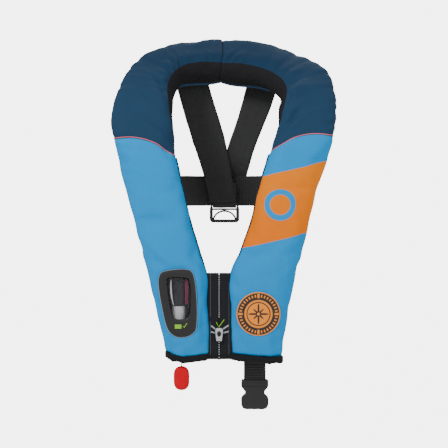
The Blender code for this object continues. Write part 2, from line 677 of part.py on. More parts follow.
# ---------------------------------------------------------------- harness and belts
def build_harness():
    smooth = material("black_webbing", (0.02, 0.02, 0.02), 0.85)
    ribbed = material("ribbed_webbing", (0.022, 0.022, 0.022), 0.9)
    ribbon("harness_strap_right", HARNESS_FRONT, HARNESS_FRONT_Y, smooth)
    ribbon("harness_strap_left", HARNESS_BACK, HARNESS_BACK_Y, smooth)
    half = (BELT_Z[1] - BELT_Z[0]) / 2
    middle = (BELT_Z[0] + BELT_Z[1]) / 2
    for name, side, look in (("back_belt_right", -1, smooth), ("back_belt_left", 1, ribbed)):
        strap(name, [(side * x, y, middle) for x, y in BELT_ROUTE], (0, 0, 1), half, look)
    loop = [(RING_X, y, z) for y, z in RING_LOOP]
    strap("ring_loop", loop, (1, 0, 0), 0.020, smooth, thickness=0.0014)


def build_crotch_ring():
    grey = material("ring_grey", (0.10, 0.10, 0.105), 0.5)
    outside = rounded((-0.0228, -0.2685), (0.0314, -0.2308), 0.005)
    ring = prism("crotch_ring", outside, *RING_Y, grey, RING_PIVOT)
    openings = {"ring_slot": rounded((-0.0195, -0.2425), (0.0281, -0.2342), 0.0015, 2)}
    arch = []
    for k in range(17):
        angle = math.pi * k / 16
        arch.append((RING_X + 0.0195 * math.cos(angle), ARCH_Z + 0.0160 * math.sin(angle)))
    openings["ring_under_arch"] = arch
    for name, side in (("ring_corner_left", -1), ("ring_corner_right", 1)):
        corner = [(RING_X + side * 0.0238, ARCH_Z + 0.0015)]
        for k in range(1, 8):
            angle = math.pi / 16 * k
            corner.append((RING_X + side * 0.0218 * math.cos(angle), ARCH_Z + 0.0182 * math.sin(angle)))
        corner += [(RING_X + side * 0.006, ARCH_Z + 0.0203), (RING_X + side * 0.0238, ARCH_Z + 0.0203)]
        openings[name] = corner
    for name, outline in openings.items():
        cut(ring, prism(name, outline, RING_Y[0] - THROUGH, RING_Y[1] + THROUGH, None, cutter=True))


def build_lobe_belts():
    smooth = material("black_webbing", (0.02, 0.02, 0.02), 0.85)
    ribbed = material("ribbed_webbing", (0.022, 0.022, 0.022), 0.9)
    for name, x in (("belt_keeper_right", -KEEPER_X), ("belt_keeper_left", KEEPER_X)):
        path = [(x, y, z) for y, z in KEEPER_PATH]
        strap(name, path, (1, 0, 0), 0.013, smooth, thickness=0.0012)
    strap("left_belt_webbing", LEFT_BELT_PATH, (1, 0, 0), WEBBING_HALF, ribbed)


def build_belt_end():
    ribbed = material("ribbed_webbing", (0.022, 0.022, 0.022), 0.9)
    plastic = material("buckle_plastic", (0.033, 0.033, 0.033), 0.5)
    x, y = BUCKLE_X, BUCKLE_Y
    path = [(x, y + ahead, z) for ahead, z in BELT_END_PATH]
    strap("belt_end_webbing", path, (1, 0, 0), 0.0188, ribbed, thickness=0.0014, origin=HEM_PIVOT)
    half = FEMALE_HALF_OUTLINE
    outline = [(x + a, z) for a, z in half] + [(x - a, z) for a, z in reversed(half)]
    female = prism("buckle_female", outline, y - BUCKLE_HALF_DEPTH, y + BUCKLE_HALF_DEPTH, plastic, HEM_PIVOT)
    slot = 0.0197
    cuts = (
        ("buckle_web_slot", (x - slot, y - THROUGH, -0.5532), (x + slot, y + THROUGH, -0.5480)),
        ("buckle_socket", (x - 0.0180, y - 0.0036, -0.61), (x + 0.0180, y + 0.0036, -0.5590)),
        ("buckle_side_windows", (x - 0.03, y - 0.0030, -0.5715), (x + 0.03, y + 0.0030, -0.5615)),
        ("buckle_bar_front", (x - slot, y - THROUGH, -0.5485), (x + slot, y - 0.0013, -0.5300)),
        ("buckle_bar_back", (x - slot, y + 0.0013, -0.5485), (x + slot, y + THROUGH, -0.5300)),
    )
    for name, low, high in cuts:
        cut(female, block(name, low, high, None, cutter=True))


def build_male_buckle():
    smooth = material("black_webbing", (0.02, 0.02, 0.02), 0.85)
    plastic = material("buckle_plastic", (0.033, 0.033, 0.033), 0.5)
    x, y = MALE_X, MALE_Y
    path = [(x, y + ahead, z) for ahead, z in TAIL_PATH]
    strap("right_belt_webbing", path, (1, 0, 0), 0.0180, smooth, thickness=0.0014, origin=TAIL_PIVOT)
    outline = rounded((x - 0.0225, -0.4200), (x + 0.0225, -0.3945), 0.003)
    body = prism("buckle_male", outline, y - 0.0034, y + 0.0034, plastic, TAIL_PIVOT)
    slot = 0.0190
    cuts = (
        ("male_web_slot", (x - slot, y - THROUGH, -0.4080), (x + slot, y + THROUGH, -0.3996)),
        ("male_bar_front", (x - slot, y - THROUGH, -0.4000), (x + slot, y - 0.0012, -0.3900)),
        ("male_bar_back", (x - slot, y + 0.0012, -0.4000), (x + slot, y + THROUGH, -0.3900)),
    )
    for name, low, high in cuts:
        cut(body, block(name, low, high, None, cutter=True))
    low, high = (x - 0.0030, y - 0.0026, -0.4450), (x + 0.0030, y + 0.0026, -0.4150)
    cut(body, block("male_tongue", low, high, None, cutter=True), "UNION")
    for name, side in (("prong_right", -1), ("prong_left", 1)):
        pivot = (x + side * 0.0130, y, -0.4208)
        shape = [(x + side * a, z) for a, z in PRONG_OUTLINE]
        prism(name, shape, y - 0.0026, y + 0.0026, plastic, pivot)


def build_adjuster():
    plastic = material("buckle_plastic", (0.033, 0.033, 0.033), 0.5)
    x, y = MALE_X, MALE_Y
    low, high = (x - 0.0225, y - 0.0068, -0.3200), (x + 0.0225, y + 0.0050, -0.3060)
    glide = block("belt_adjuster", low, high, plastic, (x, y, -0.313))
    slot = 0.0195
    cuts = (
        ("glide_slot_upper", (x - slot, y - THROUGH, -0.3118), (x + slot, y + THROUGH, -0.3072)),
        ("glide_slot_lower", (x - slot, y - THROUGH, -0.3188), (x + slot, y + THROUGH, -0.3142)),
        ("glide_passage", (x - slot, y - 0.0050, -0.33), (x + slot, y - 0.0018, -0.30)),
    )
    for name, low, high in cuts:
        cut(glide, block(name, low, high, None, cutter=True))


# ---------------------------------------------------------------- moving groups
def hang(side, names):
    """Parents the pieces of a lobe to an empty on the line it folds along."""
    hinge = bpy.data.objects.new(f"{side}_lobe_hinge", None)
    hinge.location = LOBE_HINGES[side]
    hinge.empty_display_size = 0.02
    SHOWN.objects.link(hinge)
    for name in names:
        obj = bpy.data.objects[name]
        obj.parent = hinge
        obj.matrix_parent_inverse = Matrix.Translation(hinge.location).inverted()


def main():
    clear_scene()
    make_collections()
    right, left = build_cover()
    right_surface, left_surface = surface_of(right), surface_of(left)
    build_edges()
    build_window(right, right_surface)
    build_emblem(left_surface)
    build_inflator()
    build_toggle()
    build_oral_tube()
    build_zip()
    build_zip_metal()
    build_harness()
    build_crotch_ring()
    build_lobe_belts()
    build_belt_end()
    build_male_buckle()
    build_adjuster()
    hang("right", RIGHT_LOBE_PIECES)
    hang("left", LEFT_LOBE_PIECES)


main()
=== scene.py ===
import math

import bmesh
import bpy
import numpy as np
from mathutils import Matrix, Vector, noise


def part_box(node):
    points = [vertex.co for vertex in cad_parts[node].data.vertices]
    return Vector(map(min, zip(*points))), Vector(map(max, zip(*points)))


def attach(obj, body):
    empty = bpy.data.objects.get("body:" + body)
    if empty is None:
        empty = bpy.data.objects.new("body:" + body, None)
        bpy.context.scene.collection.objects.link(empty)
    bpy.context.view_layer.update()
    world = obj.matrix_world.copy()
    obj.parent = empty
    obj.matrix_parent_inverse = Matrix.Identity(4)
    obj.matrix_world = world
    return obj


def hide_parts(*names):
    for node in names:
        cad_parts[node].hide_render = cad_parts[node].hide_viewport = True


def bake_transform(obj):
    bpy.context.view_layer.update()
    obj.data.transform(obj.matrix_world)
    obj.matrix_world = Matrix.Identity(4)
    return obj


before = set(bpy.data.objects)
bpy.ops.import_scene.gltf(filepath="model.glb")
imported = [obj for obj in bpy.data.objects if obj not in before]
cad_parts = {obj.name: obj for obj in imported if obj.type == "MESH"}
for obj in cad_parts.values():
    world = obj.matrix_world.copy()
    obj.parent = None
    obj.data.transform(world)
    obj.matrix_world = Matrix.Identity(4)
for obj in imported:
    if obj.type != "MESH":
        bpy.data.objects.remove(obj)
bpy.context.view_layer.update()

# ---------------------------------------------------------------- sizes, in metres
FULLNESS = 0.62  # exponent of the padded section: 1 is an ellipse, less is boxier
RINGS = 150  # along each half of the jacket
ROUND = 52  # round the padded section
STATIONS = (  # outer edge, inner edge, half thickness, and the middle's offset backward as a share of that
    ((-0.0965, -0.135, -0.497), (-0.0220, -0.135, -0.497), 0.018, 0.0),
    ((-0.107, -0.135, -0.454), (-0.0220, -0.135, -0.454), 0.023, 0.0),
    ((-0.117, -0.135, -0.413), (-0.0225, -0.135, -0.413), 0.025, 0.0),
    ((-0.129, -0.135, -0.361), (-0.0245, -0.135, -0.361), 0.025, 0.0),
    ((-0.139, -0.135, -0.320), (-0.038, -0.135, -0.320), 0.025, 0.0),
    ((-0.153, -0.135, -0.268), (-0.053, -0.135, -0.270), 0.025, 0.0),
    ((-0.167, -0.135, -0.214), (-0.065, -0.135, -0.222), 0.025, 0.0),
    ((-0.178, -0.134, -0.169), (-0.072, -0.135, -0.187), 0.025, 0.0),
    ((-0.187, -0.130, -0.127), (-0.0785, -0.134, -0.152), 0.025, 0.05),
    ((-0.192, -0.118, -0.090), (-0.082, -0.128, -0.105), 0.025, 0.3),
    ((-0.187, -0.085, -0.044), (-0.087, -0.110, -0.056), 0.025, 0.6),
    ((-0.175, -0.030, 0.007), (-0.085, -0.077, -0.021), 0.0245, 0.9),
    ((-0.143, 0.034, 0.050), (-0.077, -0.050, 0.004), 0.0255, 1.0),
    ((-0.083, 0.080, 0.080), (-0.056, -0.024, 0.020), 0.0270, 1.0),
    ((0.000, 0.101, 0.092), (0.000, -0.0150, 0.0235), 0.0280, 1.0),
    ((0.094, 0.080, 0.076), (0.061, -0.024, 0.014), 0.0270, 1.0),
    ((0.158, 0.034, 0.046), (0.091, -0.050, -0.004), 0.0255, 1.0),
    ((0.192, -0.030, 0.009), (0.102, -0.077, -0.027), 0.0245, 0.9),
    ((0.201, -0.085, -0.044), (0.103, -0.110, -0.056), 0.025, 0.6),
    ((0.1995, -0.118, -0.088), (0.095, -0.128, -0.103), 0.025, 0.3),
    ((0.1945, -0.130, -0.122), (0.081, -0.134, -0.148), 0.025, 0.05),
    ((0.183, -0.134, -0.165), (0.071, -0.135, -0.183), 0.025, 0.0),
    ((0.1665, -0.135, -0.214), (0.060, -0.135, -0.222), 0.025, 0.0),
    ((0.1525, -0.135, -0.268), (0.048, -0.135, -0.270), 0.025, 0.0),
    ((0.1395, -0.135, -0.320), (0.030, -0.135, -0.320), 0.025, 0.0),
    ((0.1285, -0.135, -0.361), (0.0140, -0.135, -0.361), 0.025, 0.0),
    ((0.1185, -0.135, -0.413), (0.0140, -0.135, -0.413), 0.025, 0.0),
    ((0.1120, -0.135, -0.454), (0.0140, -0.135, -0.454), 0.023, 0.0),
    ((0.1040, -0.135, -0.497), (0.0140, -0.135, -0.497), 0.018, 0.0),
)
LAST = 28.0  # the station at the left hem; the right hem is station 0
HEM_STATION = {"right": 0.0, "left": LAST}
NAPE = 14.0  # the station at the middle of the nape
NAPE_LAP = 0.0042  # how far each half runs past the middle at the nape
LINER_WRAP = 0.73  # angle by which the mesh wall wraps over the collar's inner edge
CLOTH_FRAMES = 20
SWELL = 0.0045  # most that the cloth may move from the plain padded shape
SEAM = {  # outer x and z, inner x and z of the yoke's lower edge
    "right": (-0.187, -0.127, -0.0785, -0.155),
    "left": (0.1945, -0.121, 0.081, -0.147),
}
SEAM_BULGE = 0.013
SEAM_DENT = 0.0014  # how deep the seam draws the cover in
PIPING_LIFT = 0.0003  # how far the middle of the coral piping stands off the cover
MARK = ((0.0640, -0.1925), (0.1050, 0.0240), (-0.0335, -0.1220))  # corner, width and height vectors
MARK_RING = (0.1000, -0.2400)  # x and z of the plain ring on the orange field
MARK_RING_RADIUS = 0.0220
MARK_RING_HALF = 0.0048  # half the width of the ring's line
EMBLEM = (0.0620, -0.4250)
EMBLEM_RADIUS = 0.0374
WINDOW_OUTER = (
    (-0.1065, -0.3600), (-0.0975, -0.3520), (-0.0640, -0.3488), (-0.0490, -0.3580), (-0.0430, -0.4020),
    (-0.0432, -0.4450), (-0.0480, -0.4570), (-0.0590, -0.4640), (-0.0770, -0.4645), (-0.0920, -0.4520),
    (-0.1010, -0.4200), (-0.1080, -0.3780),
)
WINDOW_INNER = (
    (-0.0935, -0.3680), (-0.0890, -0.3635), (-0.0650, -0.3635), (-0.0560, -0.3680), (-0.0535, -0.3900),
    (-0.0545, -0.4200), (-0.0580, -0.4300), (-0.0650, -0.4335), (-0.0760, -0.4340), (-0.0830, -0.4300),
    (-0.0885, -0.4120), (-0.0925, -0.3850),
)
WINDOW_CENTRE = (-0.0735, -0.3985)
WINDOW_Y = -0.1590
RECESS = (-0.1490, 0.0290)  # y of the cover at the edge of the window's opening, and how much deeper it goes
PATCHES_BELOW = -0.32  # the window and the emblem are both below this height
RING_CENTRE = (0.0043, 0.0480, -0.2495)
ZIP_X = -0.0050
ZIP_Z = (-0.5015, -0.3570)
TAPE_Y = -0.1428
TAPES = {"right": (-0.0262, ZIP_X - 0.0003), "left": (ZIP_X + 0.0003, 0.0190)}  # each tape's edges in x
TOOTH_PITCH = 0.0040
ZIP_DARK = (-0.4560, -0.4320)  # heights between which the teeth are dark, round the printed tick
BUCKLE_X = 0.0570
BUCKLE_Y = -0.1065
BELT_DOWN = (  # the webbing down the left lining
    (0.0860, -0.1078, -0.2620), (0.0660, -0.1078, -0.3800), (BUCKLE_X, -0.1078, -0.4600),
    (BUCKLE_X, BUCKLE_Y, -0.4800), (BUCKLE_X, BUCKLE_Y, -0.5055),
)
BELT_CLEAR = (0.0215, 0.0310)  # distances from the webbing's middle: fully pressed in, then not at all
BELT_CLEAR_TOP = (-0.2620, -0.2480)  # heights between which the pressing fades out
BELT_CLEAR_Y = -0.1103  # the lining is kept in front of this
HEM_ROOM_Y = (-0.140, -0.124)  # where the room for the swinging belt end starts, and where it is full
HEM_ROOM_X = (0.023, 0.036)  # distances from the belt's middle: fully raised, then not at all
HEM_ROOM_Z = -0.5030  # lowest point of the left hem in that room
BACK_BELT_Z = -0.210
COLLAR_HEM_REACH = {"right": 0.078, "left": 0.088}  # how far from the middle the collar's bottom roll runs
TAPE_STITCH_X = {"right": -0.0198, "left": 0.0118}
PULL_X = -0.0695
PULL_Y = -0.1405


# ---------------------------------------------------------------- shader graphs
class Graph:
    """A material being built: shorthand for its nodes and links."""

    def __init__(self, name):
        self.mat = bpy.data.materials.new(name)
        self.mat.use_nodes = True
        self.tree = self.mat.node_tree
        self.shader = self.tree.nodes["Principled BSDF"]

    def put(self, socket, value):
        if isinstance(value, bpy.types.NodeSocket):
            self.tree.links.new(value, socket)
        elif hasattr(value, "__len__") and len(value) == 3 and socket.type == "RGBA":
            socket.default_value = (*value, 1.0)
        else:
            socket.default_value = value

    def set(self, **values):
        for key, value in values.items():
            self.put(self.shader.inputs[key.replace("_", " ")], value)
        return self

    def math(self, operation, a, b=0.0, c=0.0):
        node = self.tree.nodes.new("ShaderNodeMath")
        node.operation = operation
        for socket, value in zip(node.inputs, (a, b, c)):
            self.put(socket, value)
        return node.outputs[0]

    def times(self, a, b):
        return self.math("MULTIPLY", a, b)

    def plus(self, a, b):
        return self.math("ADD", a, b)

    def minus(self, a, b):
        return self.math("SUBTRACT", a, b)

    def scaled(self, a, factor, offset):
        return self.math("MULTIPLY_ADD", a, factor, offset)

    def flipped(self, a):
        """1 - a."""
        return self.math("SUBTRACT", 1.0, a)

    def step(self, value, edge, soft):
        """0 below the edge and 1 above it, over a short ramp."""
        node = self.tree.nodes.new("ShaderNodeMapRange")
        node.interpolation_type = "SMOOTHSTEP"
        self.put(node.inputs["Value"], value)
        node.inputs["From Min"].default_value = edge - soft
        node.inputs["From Max"].default_value = edge + soft
        return node.outputs["Result"]

    def mix(self, share, a, b):
        node = self.tree.nodes.new("ShaderNodeMix")
        node.data_type = "RGBA"
        self.put(node.inputs["Factor"], share)
        self.put(node.inputs[6], a)
        self.put(node.inputs[7], b)
        return node.outputs[2]

    def attribute(self, name, output="Fac"):
        node = self.tree.nodes.new("ShaderNodeAttribute")
        node.attribute_name = name
        return node.outputs[output]

    def parts(self, vector):
        node = self.tree.nodes.new("ShaderNodeSeparateXYZ")
        self.put(node.inputs[0], vector)
        return node.outputs

    def noise(self, vector, scale, detail=3.0, rough=0.5):
        node = self.tree.nodes.new("ShaderNodeTexNoise")
        self.put(node.inputs["Vector"], vector)
        node.inputs["Scale"].default_value = scale
        node.inputs["Detail"].default_value = detail
        node.inputs["Roughness"].default_value = rough
        return node.outputs["Fac"]

    def place(self):
        return self.tree.nodes.new("ShaderNodeTexCoord").outputs["Object"]

    def wave(self, value, period, phase=0.0):
        """A sine between 0 and 1."""
        turn = self.math("MULTIPLY_ADD", value, 2 * math.pi / period, phase)
        return self.math("MULTIPLY_ADD", self.math("SINE", turn), 0.5, 0.5)

    def bump(self, height, strength, distance=0.001):
        node = self.tree.nodes.new("ShaderNodeBump")
        node.inputs["Strength"].default_value = strength
        node.inputs["Distance"].default_value = distance
        self.put(node.inputs["Height"], height)
        self.put(self.shader.inputs["Normal"], node.outputs[0])
        return self


NAVY = (0.0165, 0.050, 0.101)
CYAN_HIGH = (0.0, 0.292, 0.685)
CYAN_LOW = (0.0, 0.275, 0.650)
# painted shade: a darker navy for the top of the collar, which turns away from the light
NAVY_SHADED_TOP = (0.0095, 0.033, 0.071)


def weave(g, along, around, period=0.0011):
    """Height of a plain weave."""
    a = g.wave(along, period)
    b = g.wave(around, period)
    return g.math("ABSOLUTE", g.minus(a, b))


def cover_material(side):
    g = Graph(f"cover_{side}")
    cloth = g.parts(g.attribute("cloth", "Vector"))
    rest = g.attribute("rest", "Vector")
    yoke = g.step(g.attribute("yoke"), 0.0, 0.0003)
    is_cover = g.step(g.attribute("cover"), 0.0, 0.0003)
    height_z = g.parts(rest)[2]
    fall = g.step(height_z, -0.32, 0.15)
    cyan = g.mix(fall, CYAN_LOW, CYAN_HIGH)
    if side == "left":
        p, q, _ = g.parts(g.attribute("mark", "Vector"))
        inside = g.times(g.step(q, 0.0, 0.006), g.flipped(g.step(q, 1.0, 0.006)))
        reach = g.scaled(q, 0.02, 1.13)
        inside = g.times(inside, g.flipped(g.step(g.minus(p, reach), 0.0, 0.006)))
        inside = g.times(inside, g.step(p, 0.0, 0.006))
        aside = g.minus(g.parts(rest)[0], MARK_RING[0])
        above = g.minus(height_z, MARK_RING[1])
        away = g.math("SQRT", g.scaled(aside, aside, g.times(above, above)))
        off_ring = g.step(g.math("ABSOLUTE", g.minus(away, MARK_RING_RADIUS)), MARK_RING_HALF, 0.0007)
        inside = g.times(inside, off_ring)
        warm = g.mix(g.step(height_z, -0.24, 0.07), (0.88, 0.190, 0.000), (0.90, 0.230, 0.002))
        cyan = g.mix(inside, cyan, warm)
    # painted shade: the navy turns darker towards the top of the collar
    navy = g.mix(g.step(height_z, -0.01, 0.07), NAVY, NAVY_SHADED_TOP)
    outer = g.mix(yoke, cyan, navy)
    around_x, around_y = cloth[0], cloth[1]
    dots = g.math(
        "MULTIPLY",
        g.wave(g.plus(around_x, around_y), 0.0040),
        g.wave(g.minus(around_x, around_y), 0.0040),
    )
    spacer = g.mix(dots, (0.006, 0.006, 0.007), (0.046, 0.046, 0.049))
    inner = g.mix(yoke, (0.012, 0.020, 0.032), spacer)
    colour = g.mix(is_cover, inner, outer)
    if side == "right":
        colour = g.mix(g.step(g.attribute("window"), 0.004, 0.001), colour, (0.012, 0.012, 0.014))
    mottled = g.noise(rest, 38.0, 4.0, 0.6)
    shade = g.scaled(mottled, 0.16, 0.92)
    toned = g.tree.nodes.new("ShaderNodeVectorMath")
    toned.operation = "SCALE"
    g.put(toned.inputs[0], colour)
    g.put(toned.inputs["Scale"], shade)
    g.set(Base_Color=toned.outputs[0], Roughness=0.80, Specular_IOR_Level=0.07)
    threads = weave(g, around_x, around_y)
    crinkle = g.noise(rest, 160.0, 5.0, 0.65)
    outer_height = g.plus(g.times(threads, 0.12), g.times(crinkle, 0.55))
    inner_height = g.times(dots, 0.9)
    pick = g.times(g.flipped(is_cover), yoke)
    height = g.plus(outer_height, g.times(pick, inner_height))
    return g.bump(height, 0.35, 0.0009).mat


def plain_material(
    name, colour, rough, metal=0.0, grain=900.0, strength=0.08, speck=0.10, gloss=0.25, **more
):
    g = Graph(name)
    spot = g.noise(g.place(), grain, 4.0, 0.6)
    big = g.noise(g.place(), 60.0, 3.0, 0.6)
    light = tuple(min(1.0, c * (1 + speck) + 0.002) for c in colour)
    dark = tuple(c * (1 - speck) for c in colour)
    g.set(Base_Color=g.mix(big, dark, light), Roughness=g.scaled(big, 0.16, rough - 0.08), Metallic=metal)
    g.set(Specular_IOR_Level=gloss, **more)
    return g.bump(spot, strength, 0.0004).mat


def webbing_material(name, colour, ribs):
    """Woven tape; attribute cloth holds the distance along it, across it, and the rib's height, which paints
    shade into the grooves of ribbed tape.
    """
    g = Graph(name)
    along, across, ridge = g.parts(g.attribute("cloth", "Vector"))
    if ribs:
        thread = g.wave(across, 0.0011)
        height = g.times(thread, 0.5)
    else:
        zig = g.math("ABSOLUTE", g.minus(g.math("FRACT", g.times(across, 90.0)), 0.5))
        slant = g.scaled(zig, 0.012, along)
        thread = g.wave(slant, 0.0017)
        height = g.times(g.plus(thread, g.wave(across, 0.0012)), 0.5)
    fuzz = g.noise(g.attribute("cloth", "Vector"), 420.0, 4.0, 0.7)
    dark = tuple(c * 0.55 for c in colour)
    light = tuple(c * 1.5 for c in colour)
    tone = g.times(g.plus(height, fuzz), 0.6)
    # painted shade: on ribbed tape the tone is darkened in the grooves between the ribs and lifted on their
    # crests
    if ribs:
        tone = g.times(tone, g.scaled(ridge, 1.2, 0.25))
    g.set(Base_Color=g.mix(tone, dark, light), Roughness=0.85, Sheen_Weight=0.04, Sheen_Roughness=0.5)
    g.set(Specular_IOR_Level=0.2)
    return g.bump(g.plus(height, g.times(fuzz, 0.5)), 0.45, 0.0005).mat


def lens_material():
    g = Graph("lens_clear")
    haze = g.noise(g.place(), 45.0, 3.0, 0.5)
    g.set(Base_Color=(0.10, 0.10, 0.11), Roughness=g.scaled(haze, 0.06, 0.04), IOR=1.45)
    g.set(Alpha=0.14, Specular_IOR_Level=0.5)
    return g.bump(haze, 0.01, 0.001).mat


def emblem_material():
    """A generic round badge: a ring of ticks round a compass star."""
    g = Graph("emblem_print")
    x, _, z = g.parts(g.attribute("rest", "Vector"))
    dx = g.minus(x, EMBLEM[0])
    dz = g.minus(z, EMBLEM[1])
    radius = g.math("SQRT", g.plus(g.times(dx, dx), g.times(dz, dz)))
    angle = g.math("ARCTAN2", dz, dx)
    share = g.math("DIVIDE", radius, EMBLEM_RADIUS)

    def band(low, high):
        return g.times(g.step(share, low, 0.012), g.flipped(g.step(share, high, 0.012)))

    def turn(count, phase):
        return g.scaled(g.math("COSINE", g.scaled(angle, count, phase)), 0.5, 0.5)

    ticks = g.times(band(0.76, 0.88), g.step(turn(36.0, 0.0), 0.62, 0.08))
    marks = g.times(band(0.72, 0.92), g.step(turn(4.0, 0.0), 0.985, 0.006))
    reach = g.scaled(g.math("POWER", turn(4.0, 0.0), 9.0), 0.34, 0.13)
    small = g.scaled(g.math("POWER", turn(4.0, math.pi), 9.0), 0.20, 0.13)
    star = g.flipped(g.step(g.minus(share, g.math("MAXIMUM", reach, small)), 0.0, 0.012))
    hub = g.flipped(g.step(share, 0.07, 0.012))
    rim = band(0.50, 0.55)
    orange = g.flipped(g.step(share, 0.64, 0.012))
    orange = g.times(orange, g.flipped(g.times(star, g.flipped(hub))))
    orange = g.times(orange, g.flipped(rim))
    for extra in (ticks, marks, g.step(share, 0.95, 0.012)):
        orange = g.math("MAXIMUM", orange, extra)
    fine = g.noise(g.attribute("rest", "Vector"), 500.0, 4.0, 0.6)
    dark = g.mix(fine, (0.012, 0.009, 0.008), (0.024, 0.018, 0.015))
    warm = g.mix(fine, (0.88, 0.250, 0.006), (0.95, 0.290, 0.010))
    g.set(Base_Color=g.mix(orange, dark, warm), Roughness=0.55)
    return g.bump(g.plus(g.times(orange, 0.8), g.times(fine, 0.2)), 0.4, 0.0004).mat


def make_materials():
    return {
        "cover_right": cover_material("right"),
        "cover_left": cover_material("left"),
        "webbing": webbing_material("webbing_smooth", (0.035, 0.035, 0.036), False),
        "ribbed": webbing_material("webbing_ribbed", (0.036, 0.036, 0.036), True),
        "binding": webbing_material("binding_tape", (0.014, 0.014, 0.016), True),
        "piping_dark": plain_material("piping_dark", (0.010, 0.018, 0.032), 0.75, grain=1400.0, strength=0.3),
        "piping_navy": plain_material("piping_navy", NAVY, 0.8, grain=1400.0, strength=0.3),
        "piping_coral": plain_material("piping_coral", (0.80, 0.17, 0.20), 0.6, grain=1400.0, strength=0.3),
        "panel": plain_material("panel_moulded", (0.025, 0.024, 0.025), 0.46, strength=0.10),
        "rim": plain_material("panel_rim", (0.30, 0.305, 0.31), 0.40),
        "lens": lens_material(),
        "black": plain_material("gear_black", (0.018, 0.018, 0.020), 0.30),
        "steel": plain_material(
            "cylinder_steel", (0.150, 0.147, 0.155), 0.38, 0.35, strength=0.0, speck=0.25, gloss=0.5
        ),
        "white": plain_material("status_white", (0.86, 0.87, 0.90), 0.35, strength=0.02),
        "tape": webbing_material("zip_tape", (0.011, 0.011, 0.013), True),
        "teeth": plain_material("zip_teeth", (0.62, 0.62, 0.62), 0.4),
        "metal": plain_material("slider_metal", (0.60, 0.60, 0.62), 0.33, 0.55, grain=400.0),
        "orange": plain_material("whistle_orange", (0.90, 0.24, 0.02), 0.35),
        "red": plain_material(
            "toggle_red", (0.62, 0.000, 0.010), 0.42, grain=250.0, strength=0.10, gloss=0.10
        ),
        "maroon": plain_material("strip_maroon", (0.22, 0.012, 0.060), 0.35),
        "cord": plain_material("cord_braid", (0.80, 0.79, 0.76), 0.8, grain=1800.0, strength=0.5),
        "buckle": plain_material("buckle_plastic", (0.023, 0.023, 0.024), 0.46, grain=700.0, strength=0.16),
        "ring": plain_material("ring_grey", (0.042, 0.042, 0.045), 0.45, grain=500.0),
        "green": plain_material("print_green", (0.28, 0.62, 0.03), 0.5),
        "grey": plain_material("print_grey", (0.36, 0.37, 0.38), 0.5),
        "emblem": emblem_material(),
    }


# ---------------------------------------------------------------- mesh helpers
def add(name, data):
    obj = bpy.data.objects.new(name, data)
    bpy.context.scene.collection.objects.link(obj)
    return obj


def smoothed(mesh):
    mesh.polygons.foreach_set("use_smooth", [True] * len(mesh.polygons))


def new_mesh(name, points, faces, look, smooth=True):
    mesh = bpy.data.meshes.new(name)
    mesh.from_pydata([tuple(map(float, p)) for p in points], [], faces)
    work = bmesh.new()
    work.from_mesh(mesh)
    bmesh.ops.recalc_face_normals(work, faces=work.faces)
    work.to_mesh(mesh)
    work.free()
    obj = add(name, mesh)
    mesh.materials.append(look)
    if smooth:
        smoothed(mesh)
    return obj


def from_bmesh(name, work, *looks):
    mesh = bpy.data.meshes.new(name)
    work.to_mesh(mesh)
    work.free()
    for look in looks:
        mesh.materials.append(look)
    return add(name, mesh)


def skin(rings, around, ends):
    """Faces between rings of points. The ends are a cap each, a flat seam each, or joined in a ring."""
    faces = []
    for k in range(rings if ends == "ring" else rings - 1):
        n = (k + 1) % rings
        for i in range(around):
            j = (i + 1) % around
            faces.append((k * around + i, k * around + j, n * around + j, n * around + i))
    last = (rings - 1) * around
    if ends == "cap":
        faces += [tuple(range(around)), tuple(range(last, last + around))]
    if ends == "seam":
        for base in (0, last):
            for i in range(around // 2 - 1):
                faces.append((base + i, base + i + 1, base + around - 2 - i, base + around - 1 - i))
    return faces


def unit(rows):
    return rows / np.linalg.norm(rows, axis=1)[:, None]


def attribute(mesh, name, values):
    values = np.array(values, np.float32)
    if values.ndim == 1:
        made = mesh.attributes.new(name, "FLOAT", "POINT")
        made.data.foreach_set("value", values)
    else:
        made = mesh.attributes.new(name, "FLOAT_VECTOR", "POINT")
        made.data.foreach_set("vector", values.ravel())


def points_of(obj):
    co = np.empty(len(obj.data.vertices) * 3)
    obj.data.vertices.foreach_get("co", co)
    return co.reshape(-1, 3)


def set_points(obj, points):
    obj.data.vertices.foreach_set("co", points.astype(np.float32).ravel())
    obj.data.update()


def lengths(points):
    """Distance travelled along a path, at each of its points."""
    return np.r_[0, np.cumsum(np.linalg.norm(np.diff(points, axis=0), axis=1))]


def catmull(rows, t):
    a, b, c, d = rows
    return 0.5 * (2 * b + (c - a) * t + (2 * a - 5 * b + 4 * c - d) * t**2 + (3 * b - a - 3 * c + d) * t**3)


def smooth_path(points, steps):
    points = [np.array(p, float) for p in points]
    made = []
    for k in range(len(points) - 1):
        rows = [points[min(max(k + i - 1, 0), len(points) - 1)] for i in range(4)]
        made += [catmull(rows, s / steps) for s in range(steps)]
    return np.array([*made, points[-1]])


def even_path(points, spacing):
    points = np.array(points, float)
    length = lengths(points)
    count = max(2, int(length[-1] / spacing) + 1)
    at = np.linspace(0, length[-1], count)
    return np.array([np.interp(at, length, points[:, k]) for k in range(points.shape[1])]).T


def tube(name, points, radius, look, sides=8):
    """A round cord as a mesh with closed ends."""
    points = np.array(points, float)
    ahead = unit(np.gradient(points, axis=0))
    side = np.cross(ahead[0], (0.3, 0.2, 1.0))
    verts = []
    for k, (p, t) in enumerate(zip(points, ahead)):
        side = side - t * (side @ t)
        side /= np.linalg.norm(side)
        up = np.cross(t, side)
        size = radius[k] if hasattr(radius, "__len__") else radius
        for s in range(sides):
            angle = 2 * math.pi * s / sides
            verts.append(p + size * (math.cos(angle) * side + math.sin(angle) * up))
    return new_mesh(name, verts, skin(len(points), sides, "cap"), look)


